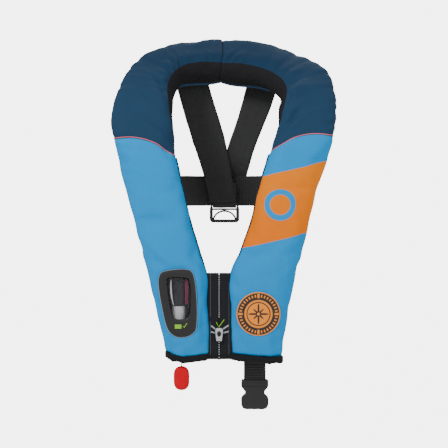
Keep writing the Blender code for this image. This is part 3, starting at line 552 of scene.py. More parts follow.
def webbing(
    name, path, across, half_width, thickness, look, rib=0.0, rib_height=0.0, spacing=0.004, bow=0.0, seed=0.0
):
    """A woven strap along path, with rounded edges and, where it has them, raised cross ribs."""
    pitch = min(spacing, rib / 6) if rib else spacing
    path = even_path(smooth_path(path, 8), pitch)
    count = len(path)
    ahead = unit(np.gradient(path, axis=0))
    wide = np.array(across, float)
    if wide.ndim == 1:
        wide = np.repeat(wide[None], count, 0)
    else:
        wide = np.array(
            [np.interp(np.linspace(0, 1, count), np.linspace(0, 1, len(wide)), wide[:, k]) for k in range(3)]
        ).T
    wide -= ahead * (wide * ahead).sum(1)[:, None]
    wide = unit(wide)
    face = np.cross(ahead, wide)
    if hasattr(half_width, "__len__"):
        half = np.interp(np.linspace(0, 1, count), np.linspace(0, 1, len(half_width)), half_width)
    else:
        half = np.full(count, half_width)
    across_steps = 9
    shape = []
    for k in range(across_steps):
        shape.append((-1 + 2 * k / (across_steps - 1), 1))
    for k in range(across_steps):
        shape.append((1 - 2 * k / (across_steps - 1), -1))
    verts, cloth = [], []
    for k in range(count):
        travelled = k * pitch
        ridge = rib_height * 0.5 * (1 + math.cos(2 * math.pi * travelled / rib)) if rib else 0.0
        for a, b in shape:
            edge = 1 - 0.45 * abs(a) ** 8
            wobble = noise.noise(Vector((travelled * 22, a * 1.3, seed))) * 0.0006
            lift = b * (thickness / 2 * edge + ridge * (1 - abs(a) ** 10)) + bow * (1 - a * a) + wobble
            fray = 1 + 0.012 * noise.noise(Vector((travelled * 60, seed, a)))
            verts.append(path[k] + wide[k] * a * half[k] * fray + face[k] * lift)
            # the third value is the rib's height, which the ribbed material uses to paint shade into the
            # grooves
            cloth.append((travelled, a * half[k], ridge / rib_height if rib else 1.0))
    obj = new_mesh(name, verts, skin(count, len(shape), "seam"), look)
    attribute(obj.data, "cloth", cloth)
    return obj


def softened(node, name, look, width, body, segments=3, angle=28.0):
    """A moulded or cast piece with the node's shape and rounded edges."""
    source = bpy.data.objects[node]
    mesh = source.data.copy()
    mesh.materials.clear()
    mesh.materials.append(look)
    work = bmesh.new()
    work.from_mesh(mesh)
    bmesh.ops.remove_doubles(work, verts=work.verts, dist=0.00002)
    bmesh.ops.dissolve_limit(work, angle_limit=math.radians(2), verts=work.verts, edges=work.edges)
    sharp = [e for e in work.edges if len(e.link_faces) == 2 and e.calc_face_angle(0) > math.radians(angle)]
    bmesh.ops.bevel(
        work, geom=sharp, offset=width, offset_type="OFFSET", segments=segments, profile=0.5, affect="EDGES",
        clamp_overlap=True
    )
    work.to_mesh(mesh)
    work.free()
    smoothed(mesh)
    obj = add(name, mesh)
    obj.matrix_world = source.matrix_world.copy()
    mesh.set_sharp_from_angle(angle=math.radians(35))
    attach(obj, body)
    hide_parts(node)
    return obj


# ---------------------------------------------------------------- padded section
def station(u):
    k = min(int(u), len(STATIONS) - 2)
    rows = [STATIONS[min(max(k + i - 1, 0), len(STATIONS) - 1)] for i in range(4)]
    return catmull([np.array((*row[0], *row[1], row[2], row[3])) for row in rows], u - k)


def section(u):
    row = station(u)
    after, before = station(min(u + 0.05, LAST)), station(max(u - 0.05, 0.0))
    along = (after[:3] + after[3:6] - before[:3] - before[3:6]) / 2
    half = (row[3:6] - row[:3]) / 2
    front = np.cross(half, along)
    front *= row[6] / np.linalg.norm(front)
    return (row[:3] + row[3:6]) / 2 - front * row[7], half, front


def padded_point(place, angle, inset=0.0):
    centre, half, front = place
    a = 1 - inset / np.linalg.norm(half)
    b = 1 - inset / np.linalg.norm(front)
    c, s = math.cos(angle), math.sin(angle)
    return centre + half * math.copysign(
        abs(c) ** FULLNESS, c
    ) * a + front * math.copysign(abs(s) ** FULLNESS, s) * b


def wrap_at(u):
    away = max(0.0, 1.0 - abs(u - NAPE) / 5.5)
    return LINER_WRAP * min(1.0, away * 2.2)


def even_round(place, inset):
    """ROUND points, evenly spaced: the inner edge first, then the front, the outer edge and the back."""
    made = []
    for start in (0.0, math.pi):
        angles = np.linspace(start, start + math.pi, 90)
        line = np.array([padded_point(place, a, inset) for a in angles])
        length = lengths(line)
        at = np.linspace(0, length[-1], ROUND // 2 + 1)[:-1]
        xyz = [np.interp(at, length, line[:, k]) for k in range(3)]
        made.append(np.c_[np.array(xyz).T, np.interp(at, length, angles), at, np.full(len(at), length[-1])])
    return np.vstack(made)


def inside_outline(outline, x, z, grow=0.0):
    """Signed depth inside a roughly convex outline: positive inside."""
    points = np.array(outline)
    centre = points.mean(0)
    depth = 1e9
    for k in range(len(points)):
        a, b = points[k], points[(k + 1) % len(points)]
        edge = b - a
        normal = np.array((-edge[1], edge[0])) / np.linalg.norm(edge)
        if normal @ (centre - a) < 0:
            normal = -normal
        depth = min(depth, float(normal @ (np.array((x, z)) - a)))
    return depth + grow


def front_y(x, z, side):
    """The front of a lobe without its folds."""
    low, high = (0.0, NAPE) if side == "right" else (NAPE, LAST)
    best = None
    for u in np.linspace(low, high, 141):
        row = station(float(u))
        middle = (row[2] + row[5]) / 2
        if best is None or abs(middle - z) < best[0]:
            best = (abs(middle - z), float(u))
    centre, half, front = section(best[1])
    across = (x - centre[0]) / half[0]
    across = min(0.999, abs(across))
    depth = (1 - across ** (2 / FULLNESS)) ** (FULLNESS / 2)
    return centre[1] + front[1] * depth


def smooth_step(value, low, high):
    t = np.clip((value - low) / (high - low), 0, 1)
    return t * t * (3 - 2 * t)


def above_seam(rest, side):
    """How far points lie above the yoke's lower edge."""
    outer_x, outer_z, inner_x, inner_z = SEAM[side]
    share = np.clip((rest[:, 0] - outer_x) / (inner_x - outer_x), 0, 1)
    return rest[:, 2] - (outer_z + (inner_z - outer_z) * share + SEAM_BULGE * np.sin(np.pi * share))


def padded_half(side, look):
    """Half of the jacket, from the nape to one hem: a closed padded tube, inflated by a cloth simulation."""
    sign = -1 if side == "right" else 1
    stations = np.linspace(NAPE, HEM_STATION[side], RINGS)
    middles = np.array([section(float(u))[0] for u in stations])
    length = lengths(middles)
    even = np.interp(np.linspace(0, length[-1], RINGS), length, stations)
    verts, facts = [], []
    for k, u in enumerate(even):
        ring = even_round(section(float(u)), 0.0016)
        travelled = length[-1] * k / (RINGS - 1)
        wrap = wrap_at(float(u))
        front_rows = ring[: ROUND // 2]
        wrap_at_length = float(np.interp(wrap, front_rows[:, 3], front_rows[:, 4]))
        for i, row in enumerate(ring):
            if i < ROUND // 2:
                cover = min(row[4] - wrap_at_length, row[5] - row[4])
                around = row[4]
            else:
                cover = -min(row[4], row[5] - row[4] + wrap_at_length)
                around = row[5] + row[4]
            verts.append(row[:3])
            facts.append((u, row[3], cover, travelled, around))
    verts, facts = np.array(verts), np.array(facts)
    obj = new_mesh(f"padded_cover_{side}", verts, skin(RINGS, ROUND, "seam"), look)
    inflate(obj, facts)
    shape_folds(obj, facts, verts, side, sign)
    attribute(obj.data, "rest", verts)
    attribute(obj.data, "cover", facts[:, 2])
    attribute(obj.data, "cloth", np.c_[facts[:, 3], facts[:, 4], np.zeros(len(facts))])
    attribute(obj.data, "yoke", above_seam(verts, side))
    if side == "right":
        front = (facts[:, 2] > 0) & (verts[:, 2] < -0.33)
        depth = [
            inside_outline(WINDOW_OUTER, x, z) if seen else -1.0 for seen, (x, _, z) in zip(front, verts)
        ]
        attribute(obj.data, "window", depth)
    if side == "left":
        corner, wide, tall = (np.array(v) for v in MARK)
        solve = np.linalg.inv(np.array((wide, tall)).T)
        pq = (verts[:, (0, 2)] - corner) @ solve.T
        attribute(obj.data, "mark", np.c_[pq, np.zeros(len(pq))])
    subdivide = obj.modifiers.new("smooth", "SUBSURF")
    subdivide.levels = 1
    subdivide.render_levels = 1
    bake(obj)
    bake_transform(obj)
    return obj


def bake(obj):
    """Applies the object's modifiers to its mesh."""
    evaluated = obj.evaluated_get(bpy.context.evaluated_depsgraph_get())
    mesh = bpy.data.meshes.new_from_object(
        evaluated, preserve_all_data_layers=True, depsgraph=bpy.context.evaluated_depsgraph_get()
    )
    obj.modifiers.clear()
    obj.data = mesh


def inflate(obj, facts):
    """Cloth under pressure, held along its seams, where it puckers."""
    start = points_of(obj)
    hold = obj.vertex_groups.new(name="held")
    ring = np.arange(len(start)) % ROUND
    row = np.arange(len(start)) // ROUND
    for i in range(len(start)):
        weight = 0.0
        if ring[i] == 0:
            weight = 0.75 + 0.25 * noise.noise(Vector((facts[i, 3] * 40, 0.0, 0.0)))
        if ring[i] == ROUND // 2:
            weight = 0.35 * float(smooth_step(facts[i, 3], 0.30, 0.36))
        if row[i] in (0, RINGS - 1):
            weight = 1.0
        if weight:
            hold.add([i], weight, "REPLACE")
    cloth = obj.modifiers.new("cloth", "CLOTH")
    settings = cloth.settings
    settings.quality = 6
    settings.mass = 0.25
    settings.tension_stiffness = 18
    settings.compression_stiffness = 10
    settings.shear_stiffness = 5
    settings.bending_stiffness = 0.35
    settings.air_damping = 3
    settings.use_pressure = True
    settings.uniform_pressure_force = 4.0
    settings.shrink_min = -0.045
    settings.pin_stiffness = 1.0
    settings.vertex_group_mass = "held"
    settings.effector_weights.gravity = 0.0
    cloth.collision_settings.use_collision = False
    cloth.point_cache.frame_start = 1
    cloth.point_cache.frame_end = CLOTH_FRAMES
    scene = bpy.context.scene
    for step in range(1, CLOTH_FRAMES + 1):
        scene.frame_set(step)
    evaluated = obj.evaluated_get(bpy.context.evaluated_depsgraph_get())
    moved = np.array([v.co for v in evaluated.data.vertices], float)
    obj.modifiers.clear()
    scene.frame_set(1)
    travel = (moved - start).reshape(RINGS, ROUND, 3)
    for _ in range(3):
        travel[1:-1] = (travel[:-2] + 2 * travel[1:-1] + travel[2:]) / 4
    travel = travel.reshape(-1, 3)
    size = np.linalg.norm(travel, axis=1)
    scale = np.where(size > 1e-9, SWELL * np.tanh(size / SWELL) / np.maximum(size, 1e-9), 1.0)
    set_points(obj, start + travel * scale[:, None])


HEM_SWAY = (  # x, and how far the hem hangs above or below its even line
    (-0.0961, 0.0055), (-0.0930, 0.0050), (-0.0851, 0.0004), (-0.0647, -0.0030), (-0.0506, -0.0012),
    (-0.0200, 0.0024),
    (0.0150, 0.0024), (0.0403, -0.0012), (0.0600, -0.0022), (0.0811, -0.0038), (0.1015, -0.0030),
)


def hem_sway(x):
    return np.interp(x, *np.array(HEM_SWAY).T)


def shape_folds(obj, facts, rest, side, sign):
    """Gathers along the seams, soft dents, creases, and the places where patches lie flat."""
    points = points_of(obj)
    normals = np.array([v.normal for v in obj.data.vertices])
    cover, travelled = facts[:, 2], facts[:, 3]
    total = travelled.max()
    to_hem = total - travelled
    for i in range(len(points)):
        p = rest[i]
        on_collar = float(smooth_step(total * 0.62 - travelled[i], 0.0, 0.08))
        body = min(1.0, travelled[i] / 0.02)
        soft = noise.noise(Vector(p) * 8.0) * 0.0022 + noise.noise(Vector(p) * 20.0) * (
            0.0010 + 0.0016 * on_collar
        )
        place = Vector((travelled[i] * 42.0, sign * 2.0, cover[i] * 5.0))
        radial = noise.noise(place) + 0.5 * noise.noise(place * 2.1 + Vector((0, 5, 0)))
        strong = 0.55 + 0.9 * max(0.0, noise.noise(Vector((travelled[i] * 9.0, sign * 4.0, 2.0))) + 0.2)
        reach = math.exp(-((max(cover[i], 0.0) / 0.040) ** 1.5)) * (1.0 if cover[i] > -0.006 else 0.4)
        pucker = (0.16 - abs(radial)) * 0.0115 * reach * strong * (
            0.06 + 0.94 * on_collar
        ) * smooth_step(cover[i], -0.004, 0.012)
        hem = math.exp(-to_hem[i] / 0.022)
        gather = noise.noise(Vector((facts[i, 4] * 48, sign * 3.0, 1.0))) * 0.0032 * hem
        nape = noise.noise(Vector((facts[i, 4] * 34, 0.0, 9.0))) * 0.0030 * math.exp(-travelled[i] / 0.022)
        points[i] += normals[i] * (soft + pucker + gather + nape) * body
    close_nape(points, rest, sign)
    points -= normals * (SEAM_DENT * np.exp(-((above_seam(rest, side) / 0.0045) ** 2)))[:, None]
    for a, b, depth, width in CREASES[side]:
        a, b = np.array(a), np.array(b)
        along = b - a
        t = np.clip(((rest[:, (0, 2)] - a) @ along) / (along @ along), 0, 1)
        gap = np.linalg.norm(rest[:, (0, 2)] - (a + t[:, None] * along), axis=1)
        front = (cover > 0.004) & (normals[:, 1] < 0.3)
        fade = np.sin(np.pi * np.clip(t * 0.9 + 0.05, 0, 1))
        amount = depth * np.exp(-((gap / width) ** 2)) * fade - depth * 0.6 * np.exp(
            -(((gap - 2 * width) / width) ** 2)
        ) * fade
        points -= normals * (amount * front)[:, None]
    flatten_patches(points, rest, cover, side)
    if side == "left":
        sink_under_belt(points)
    points[:, 2] += hem_sway(rest[:, 0]) * np.exp(-to_hem / 0.016)
    set_points(obj, points)


def close_nape(points, rest, sign):
    """Both halves run just past the middle at the nape, drawn in a little by the seam."""
    rows = points.reshape(RINGS, ROUND, 3)
    flat = rest.reshape(RINGS, ROUND, 3)
    settled = rows[4].copy()
    middle = settled.mean(0)
    for k, (share, drawn) in enumerate(((1.0, 0.0016), (0.8, 0.0004), (0.5, 0.0), (0.25, 0.0))):
        drawn_in = settled - unit(settled - middle) * drawn
        rows[k, :, 1:] += (drawn_in[:, 1:] - rows[k, :, 1:]) * share
        rows[k, :, 0] = -sign * NAPE_LAP if k == 0 else flat[k, :, 0]


CREASES = {
    "right": (
        ((-0.140, -0.330), (-0.075, -0.352), 0.0022, 0.006),
        ((-0.150, -0.300), (-0.098, -0.345), 0.0016, 0.006),
        ((-0.034, -0.340), (-0.026, -0.420), 0.0016, 0.004),
        ((-0.036, -0.400), (-0.030, -0.480), 0.0016, 0.004),
        ((-0.088, -0.490), (-0.060, -0.470), 0.0014, 0.005),
        ((-0.085, -0.115), (-0.135, -0.075), 0.0024, 0.007),
        ((-0.090, -0.080), (-0.150, -0.035), 0.0022, 0.007),
        ((-0.088, -0.060), (-0.120, -0.010), 0.0024, 0.006),
        ((-0.170, -0.250), (-0.120, -0.240), 0.0010, 0.008),
        ((-0.086, -0.002), (-0.108, 0.012), 0.0040, 0.0036),
        ((-0.088, -0.028), (-0.121, -0.020), 0.0040, 0.0038),
        ((-0.080, 0.006), (-0.095, 0.025), 0.0038, 0.0034),
        ((-0.028, 0.019), (-0.037, 0.033), 0.0036, 0.0030),
        ((-0.017, 0.019), (-0.034, 0.042), 0.0034, 0.0034),
        ((-0.090, -0.116), (-0.146, -0.084), 0.0036, 0.0046),
    ),
    "left": (
        ((0.018, -0.360), (0.034, -0.395), 0.0016, 0.005),
        ((0.022, -0.450), (0.040, -0.490), 0.0016, 0.005),
        ((0.100, -0.480), (0.082, -0.450), 0.0012, 0.006),
        ((0.150, -0.310), (0.095, -0.330), 0.0016, 0.007),
        ((0.102, -0.100), (0.150, -0.070), 0.0022, 0.007),
        ((0.104, -0.060), (0.160, -0.045), 0.0022, 0.007),
        ((0.100, -0.035), (0.150, -0.005), 0.0024, 0.006),
        ((0.160, -0.230), (0.110, -0.245), 0.0008, 0.008),
        ((0.004, 0.018), (0.028, 0.045), 0.0040, 0.0034),
        ((0.016, 0.019), (0.034, 0.031), 0.0030, 0.0032),
        ((0.104, -0.072), (0.129, -0.024), 0.0038, 0.0040),
        ((0.096, -0.116), (0.137, -0.073), 0.0038, 0.0044),
    ),
}


def flatten_patches(points, rest, cover, side):
    """The cover lies under the window and the emblem, and dips into the window's opening."""
    for i in range(len(points)):
        if cover[i] < 0.003 or rest[i, 2] > PATCHES_BELOW:
            continue
        x, z = points[i, 0], points[i, 2]
        if side == "right":
            depth = inside_outline(WINDOW_OUTER, x, z)
            if depth > -0.006:
                level = WINDOW_Y + 0.0005
                share = float(smooth_step(depth, -0.006, 0.001))
                points[i, 1] += (max(points[i, 1], level) - points[i, 1]) * share
            inner = inside_outline(WINDOW_INNER, x, z)
            if inner > -0.003:
                points[i, 1] = max(
                    points[i, 1], RECESS[0] + RECESS[1] * float(smooth_step(inner, -0.001, 0.004))
                )
        else:
            away = EMBLEM_RADIUS - math.hypot(x - EMBLEM[0], z - EMBLEM[1])
            if away > -0.004:
                share = float(smooth_step(away, -0.004, 0.001))
                goal = front_cache(x, z, side) + 0.0002
                points[i, 1] += (max(points[i, 1], goal) - points[i, 1]) * share


def sink_under_belt(points):
    """The left lining is pressed in under the belt webbing that runs down it."""
    run = np.array(BELT_DOWN)[::-1]
    off = np.abs(points[:, 0] - np.interp(points[:, 2], run[:, 2], run[:, 0]))
    share = (1 - smooth_step(off, *BELT_CLEAR)) * (1 - smooth_step(points[:, 2], *BELT_CLEAR_TOP))
    points[:, 1] += (np.minimum(points[:, 1], BELT_CLEAR_Y) - points[:, 1]) * share


_FRONT = {}


def front_cache(x, z, side):
    key = (round(x, 3), round(z, 3), side)
    if key not in _FRONT:
        _FRONT[key] = front_y(x, z, side)
    return _FRONT[key]


# ---------------------------------------------------------------- patches on the cover
def spline_outline(outline, steps):
    count = len(outline)
    made = []
    for k in range(count):
        rows = [np.array(outline[(k + i - 1) % count]) for i in range(4)]
        made += [catmull(rows, s / steps) for s in range(steps)]
    return np.array(made)


def plate(name, rings, look, back):
    """A closed plate from rings of (x, y, z), from its outer edge to its centre or its opening's edge."""
    verts = [p for ring in rings for p in ring]
    return new_mesh(name, verts, skin(len(rings), len(rings[0]), back), look)


def build_window(looks):
    outer = spline_outline(WINDOW_OUTER, 6)
    inner = spline_outline(WINDOW_INNER, 6)
    middle = np.array(WINDOW_CENTRE)

    def curve_y(points):
        return np.array([min(front_cache(x, z, "right"), -0.1560) for x, z in points])

    base = curve_y(outer) * 0.5 + WINDOW_Y * 0.5 + 0.0003
    rings = []
    for share, lift in (
        (0.0, 0.0), (0.0, -0.0016), (0.03, -0.0026), (0.10, -0.0030), (0.45, -0.0036), (0.84, -0.0036),
        (0.95, -0.0030), (1.0, -0.0018), (1.0, 0.0006)
    ):
        flat = outer + (inner - outer) * share
        y = base + (WINDOW_Y - base) * share + lift
        rings.append(np.c_[flat[:, 0], y, flat[:, 1]])
    body = plate("window_panel_visual", rings, looks["panel"], "ring")
    edge = outer + (middle - outer) * 0.012
    rim = tube(
        "window_rim", np.c_[edge[:, 0], base - 0.0017, edge[:, 1]][list(range(len(edge))) + [0]], 0.0009,
        looks["rim"], 6
    )
    lens_rings = []
    for share, y in (
        (0.0, 0.0), (0.0, -0.0020), (0.06, -0.0032), (0.25, -0.0046), (0.55, -0.0056), (0.80, -0.0060),
        (0.97, -0.0061)
    ):
        flat = inner * 0.985 + middle * 0.015
        flat = flat + (middle - flat) * share
        lens_rings.append(np.c_[flat[:, 0], np.full(len(flat), WINDOW_Y + y + 0.0008), flat[:, 1]])
    lens = plate("window_lens_visual", lens_rings, looks["lens"], "cap")
    strip = new_box(
        "indicator_strip", (-0.0628, -0.1560, -0.4090), (-0.0572, -0.1535, -0.3660), looks["maroon"], 0.0006
    )
    # painted highlight: a thin white tube inside the lens stands in for the reflection along the gas cylinder
    run = smooth_path(
        [
            (-0.0868, -0.1545, -0.3660), (-0.0872, -0.1550, -0.3800), (-0.0858, -0.1550, -0.3960),
            (-0.0825, -0.1545, -0.4110)
        ],
        6
    )
    slim = 0.0016 * np.sin(np.linspace(0.35, 2.9, len(run)))
    painted_glint = tube("window_streak", run, slim, looks["white"], 8)
    for piece in (body, rim, lens, strip, painted_glint):
        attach(piece, "right_lobe")
    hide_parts("window_frame")
    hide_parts("window_lens")
    label(looks)


def new_box(name, low, high, look, width, segments=2):
    work = bmesh.new()
    bmesh.ops.create_cube(work, size=1.0)
    for v in work.verts:
        v.co = Vector((low[i] + (v.co[i] + 0.5) * (high[i] - low[i]) for i in range(3)))
    if width:
        bmesh.ops.bevel(
            work, geom=work.edges[:], offset=width, segments=segments, profile=0.5, affect="EDGES"
        )
    obj = from_bmesh(name, work, look)
    smoothed(obj.data)
    obj.data.set_sharp_from_angle(angle=math.radians(40))
    return obj


def stroke(name, path, width, y, look, body, thick=0.0003):
    """A printed line: a flat raised strip in the plane of the front."""
    path = np.array(path, float)
    ahead = unit(np.gradient(path, axis=0))
    side = np.c_[-ahead[:, 1], ahead[:, 0]]
    verts = []
    for p, s in zip(path, side):
        for a, depth in ((1, 0), (1, -thick), (-1, -thick), (-1, 0)):
            verts.append((p[0] + s[0] * a * width / 2, y + depth, p[1] + s[1] * a * width / 2))
    obj = new_mesh(name, verts, skin(len(path), 4, "cap"), look, smooth=False)
    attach(obj, body)
    return obj


def label(looks):
    y = WINDOW_Y - 0.0034
    for k in range(3):
        z = -0.4438 - k * 0.0024
        stroke(f"label_bar_{k}", [(-0.0802, z), (-0.0690, z)], 0.0021, y, looks["green"], "right_lobe")
    stroke(
        "label_tick", [(-0.0664, -0.4450), (-0.0645, -0.4480), (-0.0594, -0.4402)], 0.0011, y, looks["green"],
        "right_lobe"
    )


def build_emblem(looks):
    count = 72
    rings = []
    for share, lift in (
        (1.0, 0.0), (1.0, -0.0010), (0.985, -0.0015), (0.93, -0.0016), (0.66, -0.0018), (0.33, -0.0018),
        (0.05, -0.0018)
    ):
        ring = []
        for k in range(count):
            angle = 2 * math.pi * k / count
            x = EMBLEM[0] + EMBLEM_RADIUS * share * math.cos(angle)
            z = EMBLEM[1] + EMBLEM_RADIUS * share * math.sin(angle)
            ring.append((x, front_y(x, z, "left") + lift - 0.0004, z))
        rings.append(np.array(ring))
    badge = plate("emblem_visual", rings, looks["emblem"], "cap")
    attribute(badge.data, "rest", points_of(badge))
    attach(badge, "left_lobe")
    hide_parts("emblem_patch")


# ---------------------------------------------------------------- edges
def seam_line(obj):
    """The line where the yoke's colour meets the lobe's, lifted just off the finished cover."""
    mesh = obj.data
    co = points_of(obj)
    count = len(mesh.vertices)
    normal = np.empty(count * 3)
    mesh.vertices.foreach_get("normal", normal)
    normal = normal.reshape(-1, 3)
    values = {}
    for name in ("yoke", "cover"):
        got = np.empty(count, np.float32)
        mesh.attributes[name].data.foreach_get("value", got)
        values[name] = got
    ends = np.empty(len(mesh.edges) * 2, int)
    mesh.edges.foreach_get("vertices", ends)
    ends = ends.reshape(-1, 2)
    yoke = values["yoke"][ends]
    crossing = (yoke[:, 0] * yoke[:, 1] < 0) & (values["cover"][ends].min(1) > 0.0)
    share = (yoke[crossing, 0] / (yoke[crossing, 0] - yoke[crossing, 1]))[:, None]
    a, b = ends[crossing, 0], ends[crossing, 1]
    line = co[a] * (1 - share) + co[b] * share
    out = normal[a] * (1 - share) + normal[b] * share
    order = np.argsort(line[:, 0])
    line, out = line[order], out[order]
    kept = [0]
    for k in range(1, len(line)):
        if line[k, 0] - line[kept[-1], 0] > 0.002:
            kept.append(k)
    return line[kept] + unit(out[kept]) * PIPING_LIFT


def inner_edge(obj, side):
    """The line of the inner edge from just above the seam to the hem, read from the finished cover."""
    co = points_of(obj)[: RINGS * ROUND].reshape(RINGS, ROUND, 3)
    line = co[:, 0]
    towards = unit(co[:, 0] - (co[:, 2] + co[:, ROUND - 2]) / 2)
    seam_z = SEAM[side][3]
    below = (line[:, 2] < seam_z - 0.002) & (line[:, 1] < -0.10)
    line, towards = line[below], towards[below]
    wave = [noise.noise(Vector((z * 45, 3.0, 0.0))) * 0.0009 for z in line[:, 2]]
    return line + towards * (0.0008 + np.array(wave)[:, None] * 0.6)


def lower_edge(obj, reach):
    """The bottom line of the collar's wall, read from the finished cover."""
    co = points_of(obj)[: RINGS * ROUND].reshape(RINGS, ROUND, 3)
    line = []
    for ring in co:
        point = ring[np.argmin(ring[:, 2])]
        if abs(point[0]) > reach:
            break
        line.append(point)
    line = np.array(line)
    for _ in range(14):
        line[1:-1] = (line[:-2] + line[1:-1] * 2 + line[2:]) / 4
    return line + np.array((0, 0, 0.0004))


def build_edges(covers, looks):
    for side, obj in covers.items():
        line = seam_line(obj)
        coral = tube(f"seam_piping_{side}_visual", line, 0.00075, looks["piping_coral"], 8)
        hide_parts(f"seam_piping_{side}")
        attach(coral, "yoke")
        below = tube(
            f"seam_shadow_{side}", line + np.array((0, 0.0004, -0.0015)), 0.0007, looks["piping_dark"], 8
        )
        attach(below, "yoke")
        bottom = lower_edge(obj, COLLAR_HEM_REACH[side])
        collar_hem = tube(f"collar_hem_{side}", bottom, 0.0036, looks["piping_navy"], 12)
        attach(collar_hem, "yoke")
        dark = tube(f"inner_piping_{side}", inner_edge(obj, side), 0.0015, looks["piping_dark"], 8)
        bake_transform(dark)
        build_hem(side, looks)


def build_hem(side, looks):
    """The black binding round the hem, slightly wavy."""
    u = HEM_STATION[side]
    place = section(u)
    count = 96
    profile = (
        (-0.0010, 0.0010), (0.0004, 0.0016), (0.0011, 0.0002), (0.0013, -0.0036),
        (0.0008, -0.0072), (-0.0010, -0.0082), (-0.0060, -0.0082),
    )
    rings = []
    for grow, rise in profile:
        ring = []
        for k in range(count):
            angle = 2 * math.pi * k / count
            point = padded_point(place, angle, -grow)
            wave = noise.noise(Vector((math.cos(angle) * 2.2, math.sin(angle) * 2.2, u))) * 0.0022
            wave += noise.noise(Vector((math.cos(angle) * 6, math.sin(angle) * 6, u + 3))) * 0.0010
            push = noise.noise(Vector((math.cos(angle) * 4, math.sin(angle) * 4, u + 7))) * 0.0009
            outward = (point - place[0]) / np.linalg.norm(point - place[0])
            sway = float(hem_sway(point[0])) - 0.0016 * smooth_step(-rise, 0.0, 0.007)
            moved = point + np.array((0, 0, rise + wave + sway)) + outward * push
            if side == "left":
                aside = 1 - smooth_step(abs(moved[0] - BUCKLE_X), *HEM_ROOM_X)
                room = smooth_step(moved[1], *HEM_ROOM_Y) * aside
                moved[2] += room * (max(moved[2], HEM_ROOM_Z) - moved[2])
            ring.append(moved)
        rings.append(np.array(ring))
    binding = plate(f"hem_{side}_visual", rings, looks["binding"], "cap")
    attribute(binding.data, "cloth", points_of(binding)[:, (2, 0, 1)])
    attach(binding, f"{side}_lobe")
    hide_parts(f"{side}_hem_binding")


# ---------------------------------------------------------------- zip
def build_zip(looks):
    for side, (low, high) in TAPES.items():
        path = []
        for z in np.linspace(ZIP_Z[0] - 0.0015, ZIP_Z[1] + 0.0015, 30):
            path.append(((low + high) / 2, TAPE_Y + 0.0006 * math.sin(z * 90), z))
        tape = webbing(
            f"zip_tape_{side}_visual", path, (1, 0, 0), (high - low) / 2, 0.0011, looks["tape"],
            seed=3.0 if side == "left" else 5.0
        )
        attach(tape, f"{side}_lobe")
        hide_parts(f"{side}_zip_tape")
        edge = TAPE_STITCH_X[side]
        build_stitches(
            f"tape_stitches_{side}", [(edge, TAPE_Y - 0.0009, z) for z in (ZIP_Z[0], ZIP_Z[1])], 0.0032,
            0.0020, 0.00022, looks["grey"], f"{side}_lobe"
        )
    for side, sign in (("right", -1), ("left", 1)):
        work = bmesh.new()
        centres = []
        z = ZIP_Z[0] + 0.0025
        while z < ZIP_Z[1] - 0.001:
            made = bmesh.ops.create_cube(work, size=1.0)["verts"]
            for v in made:
                narrow = 0.75 if v.co.x * sign < 0 else 1.0
                x = ZIP_X + sign * 0.0005 + v.co.x * 0.0008
                v.co = Vector((x, TAPE_Y - 0.0006 + v.co.y * 0.0014, z + v.co.z * 0.0017 * narrow))
            centres.append(z)
            z += TOOTH_PITCH
        cord = bmesh.ops.create_cube(work, size=1.0)["verts"]
        reach = (-0.0008, 0.0019) if side == "left" else (0.0003, 0.0019)
        for v in cord:
            x = ZIP_X + sign * (reach[0] + (v.co.x * sign + 0.5) * (reach[1] - reach[0]))
            height = (ZIP_Z[0] + ZIP_Z[1]) / 2 + v.co.z * (ZIP_Z[1] - ZIP_Z[0] - 0.004)
            v.co = Vector((x, TAPE_Y - 0.0001 + v.co.y * 0.0012, height))
        teeth = from_bmesh(f"teeth_{side}_visual", work, looks["teeth"], looks["tape"])
        for polygon in teeth.data.polygons:
            tooth = polygon.index // 6
            dark = tooth >= len(centres) or ZIP_DARK[0] < centres[tooth] < ZIP_DARK[1]
            polygon.material_index = 1 if dark else 0
        attribute(teeth.data, "cloth", points_of(teeth)[:, (2, 0, 1)])
        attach(teeth, f"{side}_lobe")
        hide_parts(f"{side}_zip_teeth")
    softened("zip_slider", "slider_visual", looks["metal"], 0.0005, "zip_slider")
    build_puller(looks)
    for side, (low, high) in TAPES.items():
        band = new_box(
            f"tape_end_{side}", (low, -0.1462, -0.5036), (high, -0.1436, -0.4968), looks["binding"], 0.0007
        )
        attribute(band.data, "cloth", points_of(band)[:, (2, 0, 1)])
        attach(band, f"{side}_lobe")
    bpy.data.objects["zip_end_stop"].data.materials.clear()
    bpy.data.objects["zip_end_stop"].data.materials.append(looks["metal"])
    front = TAPE_Y - 0.0012
    tick = [(ZIP_X - 0.0047, -0.4402), (ZIP_X - 0.0006, -0.4484), (ZIP_X + 0.0088, -0.4355)]
    stroke("zip_tick", tick, 0.0012, front - 0.0010, looks["green"], "right_lobe")
    rays = (
        (-0.0185, -0.4462, -0.0118, -0.4518), (-0.0188, -0.4566, -0.0124, -0.4585),
        (0.0018, -0.4518, 0.0112, -0.4455), (0.0024, -0.4585, 0.0112, -0.4560),
    )
    for k, (x0, z0, x1, z1) in enumerate(rays):
        stroke(
            f"zip_ray_{k}", [(x0, z0), (x1, z1)], 0.0026, front, looks["grey"],
            "right_lobe" if k < 2 else "left_lobe"
        )


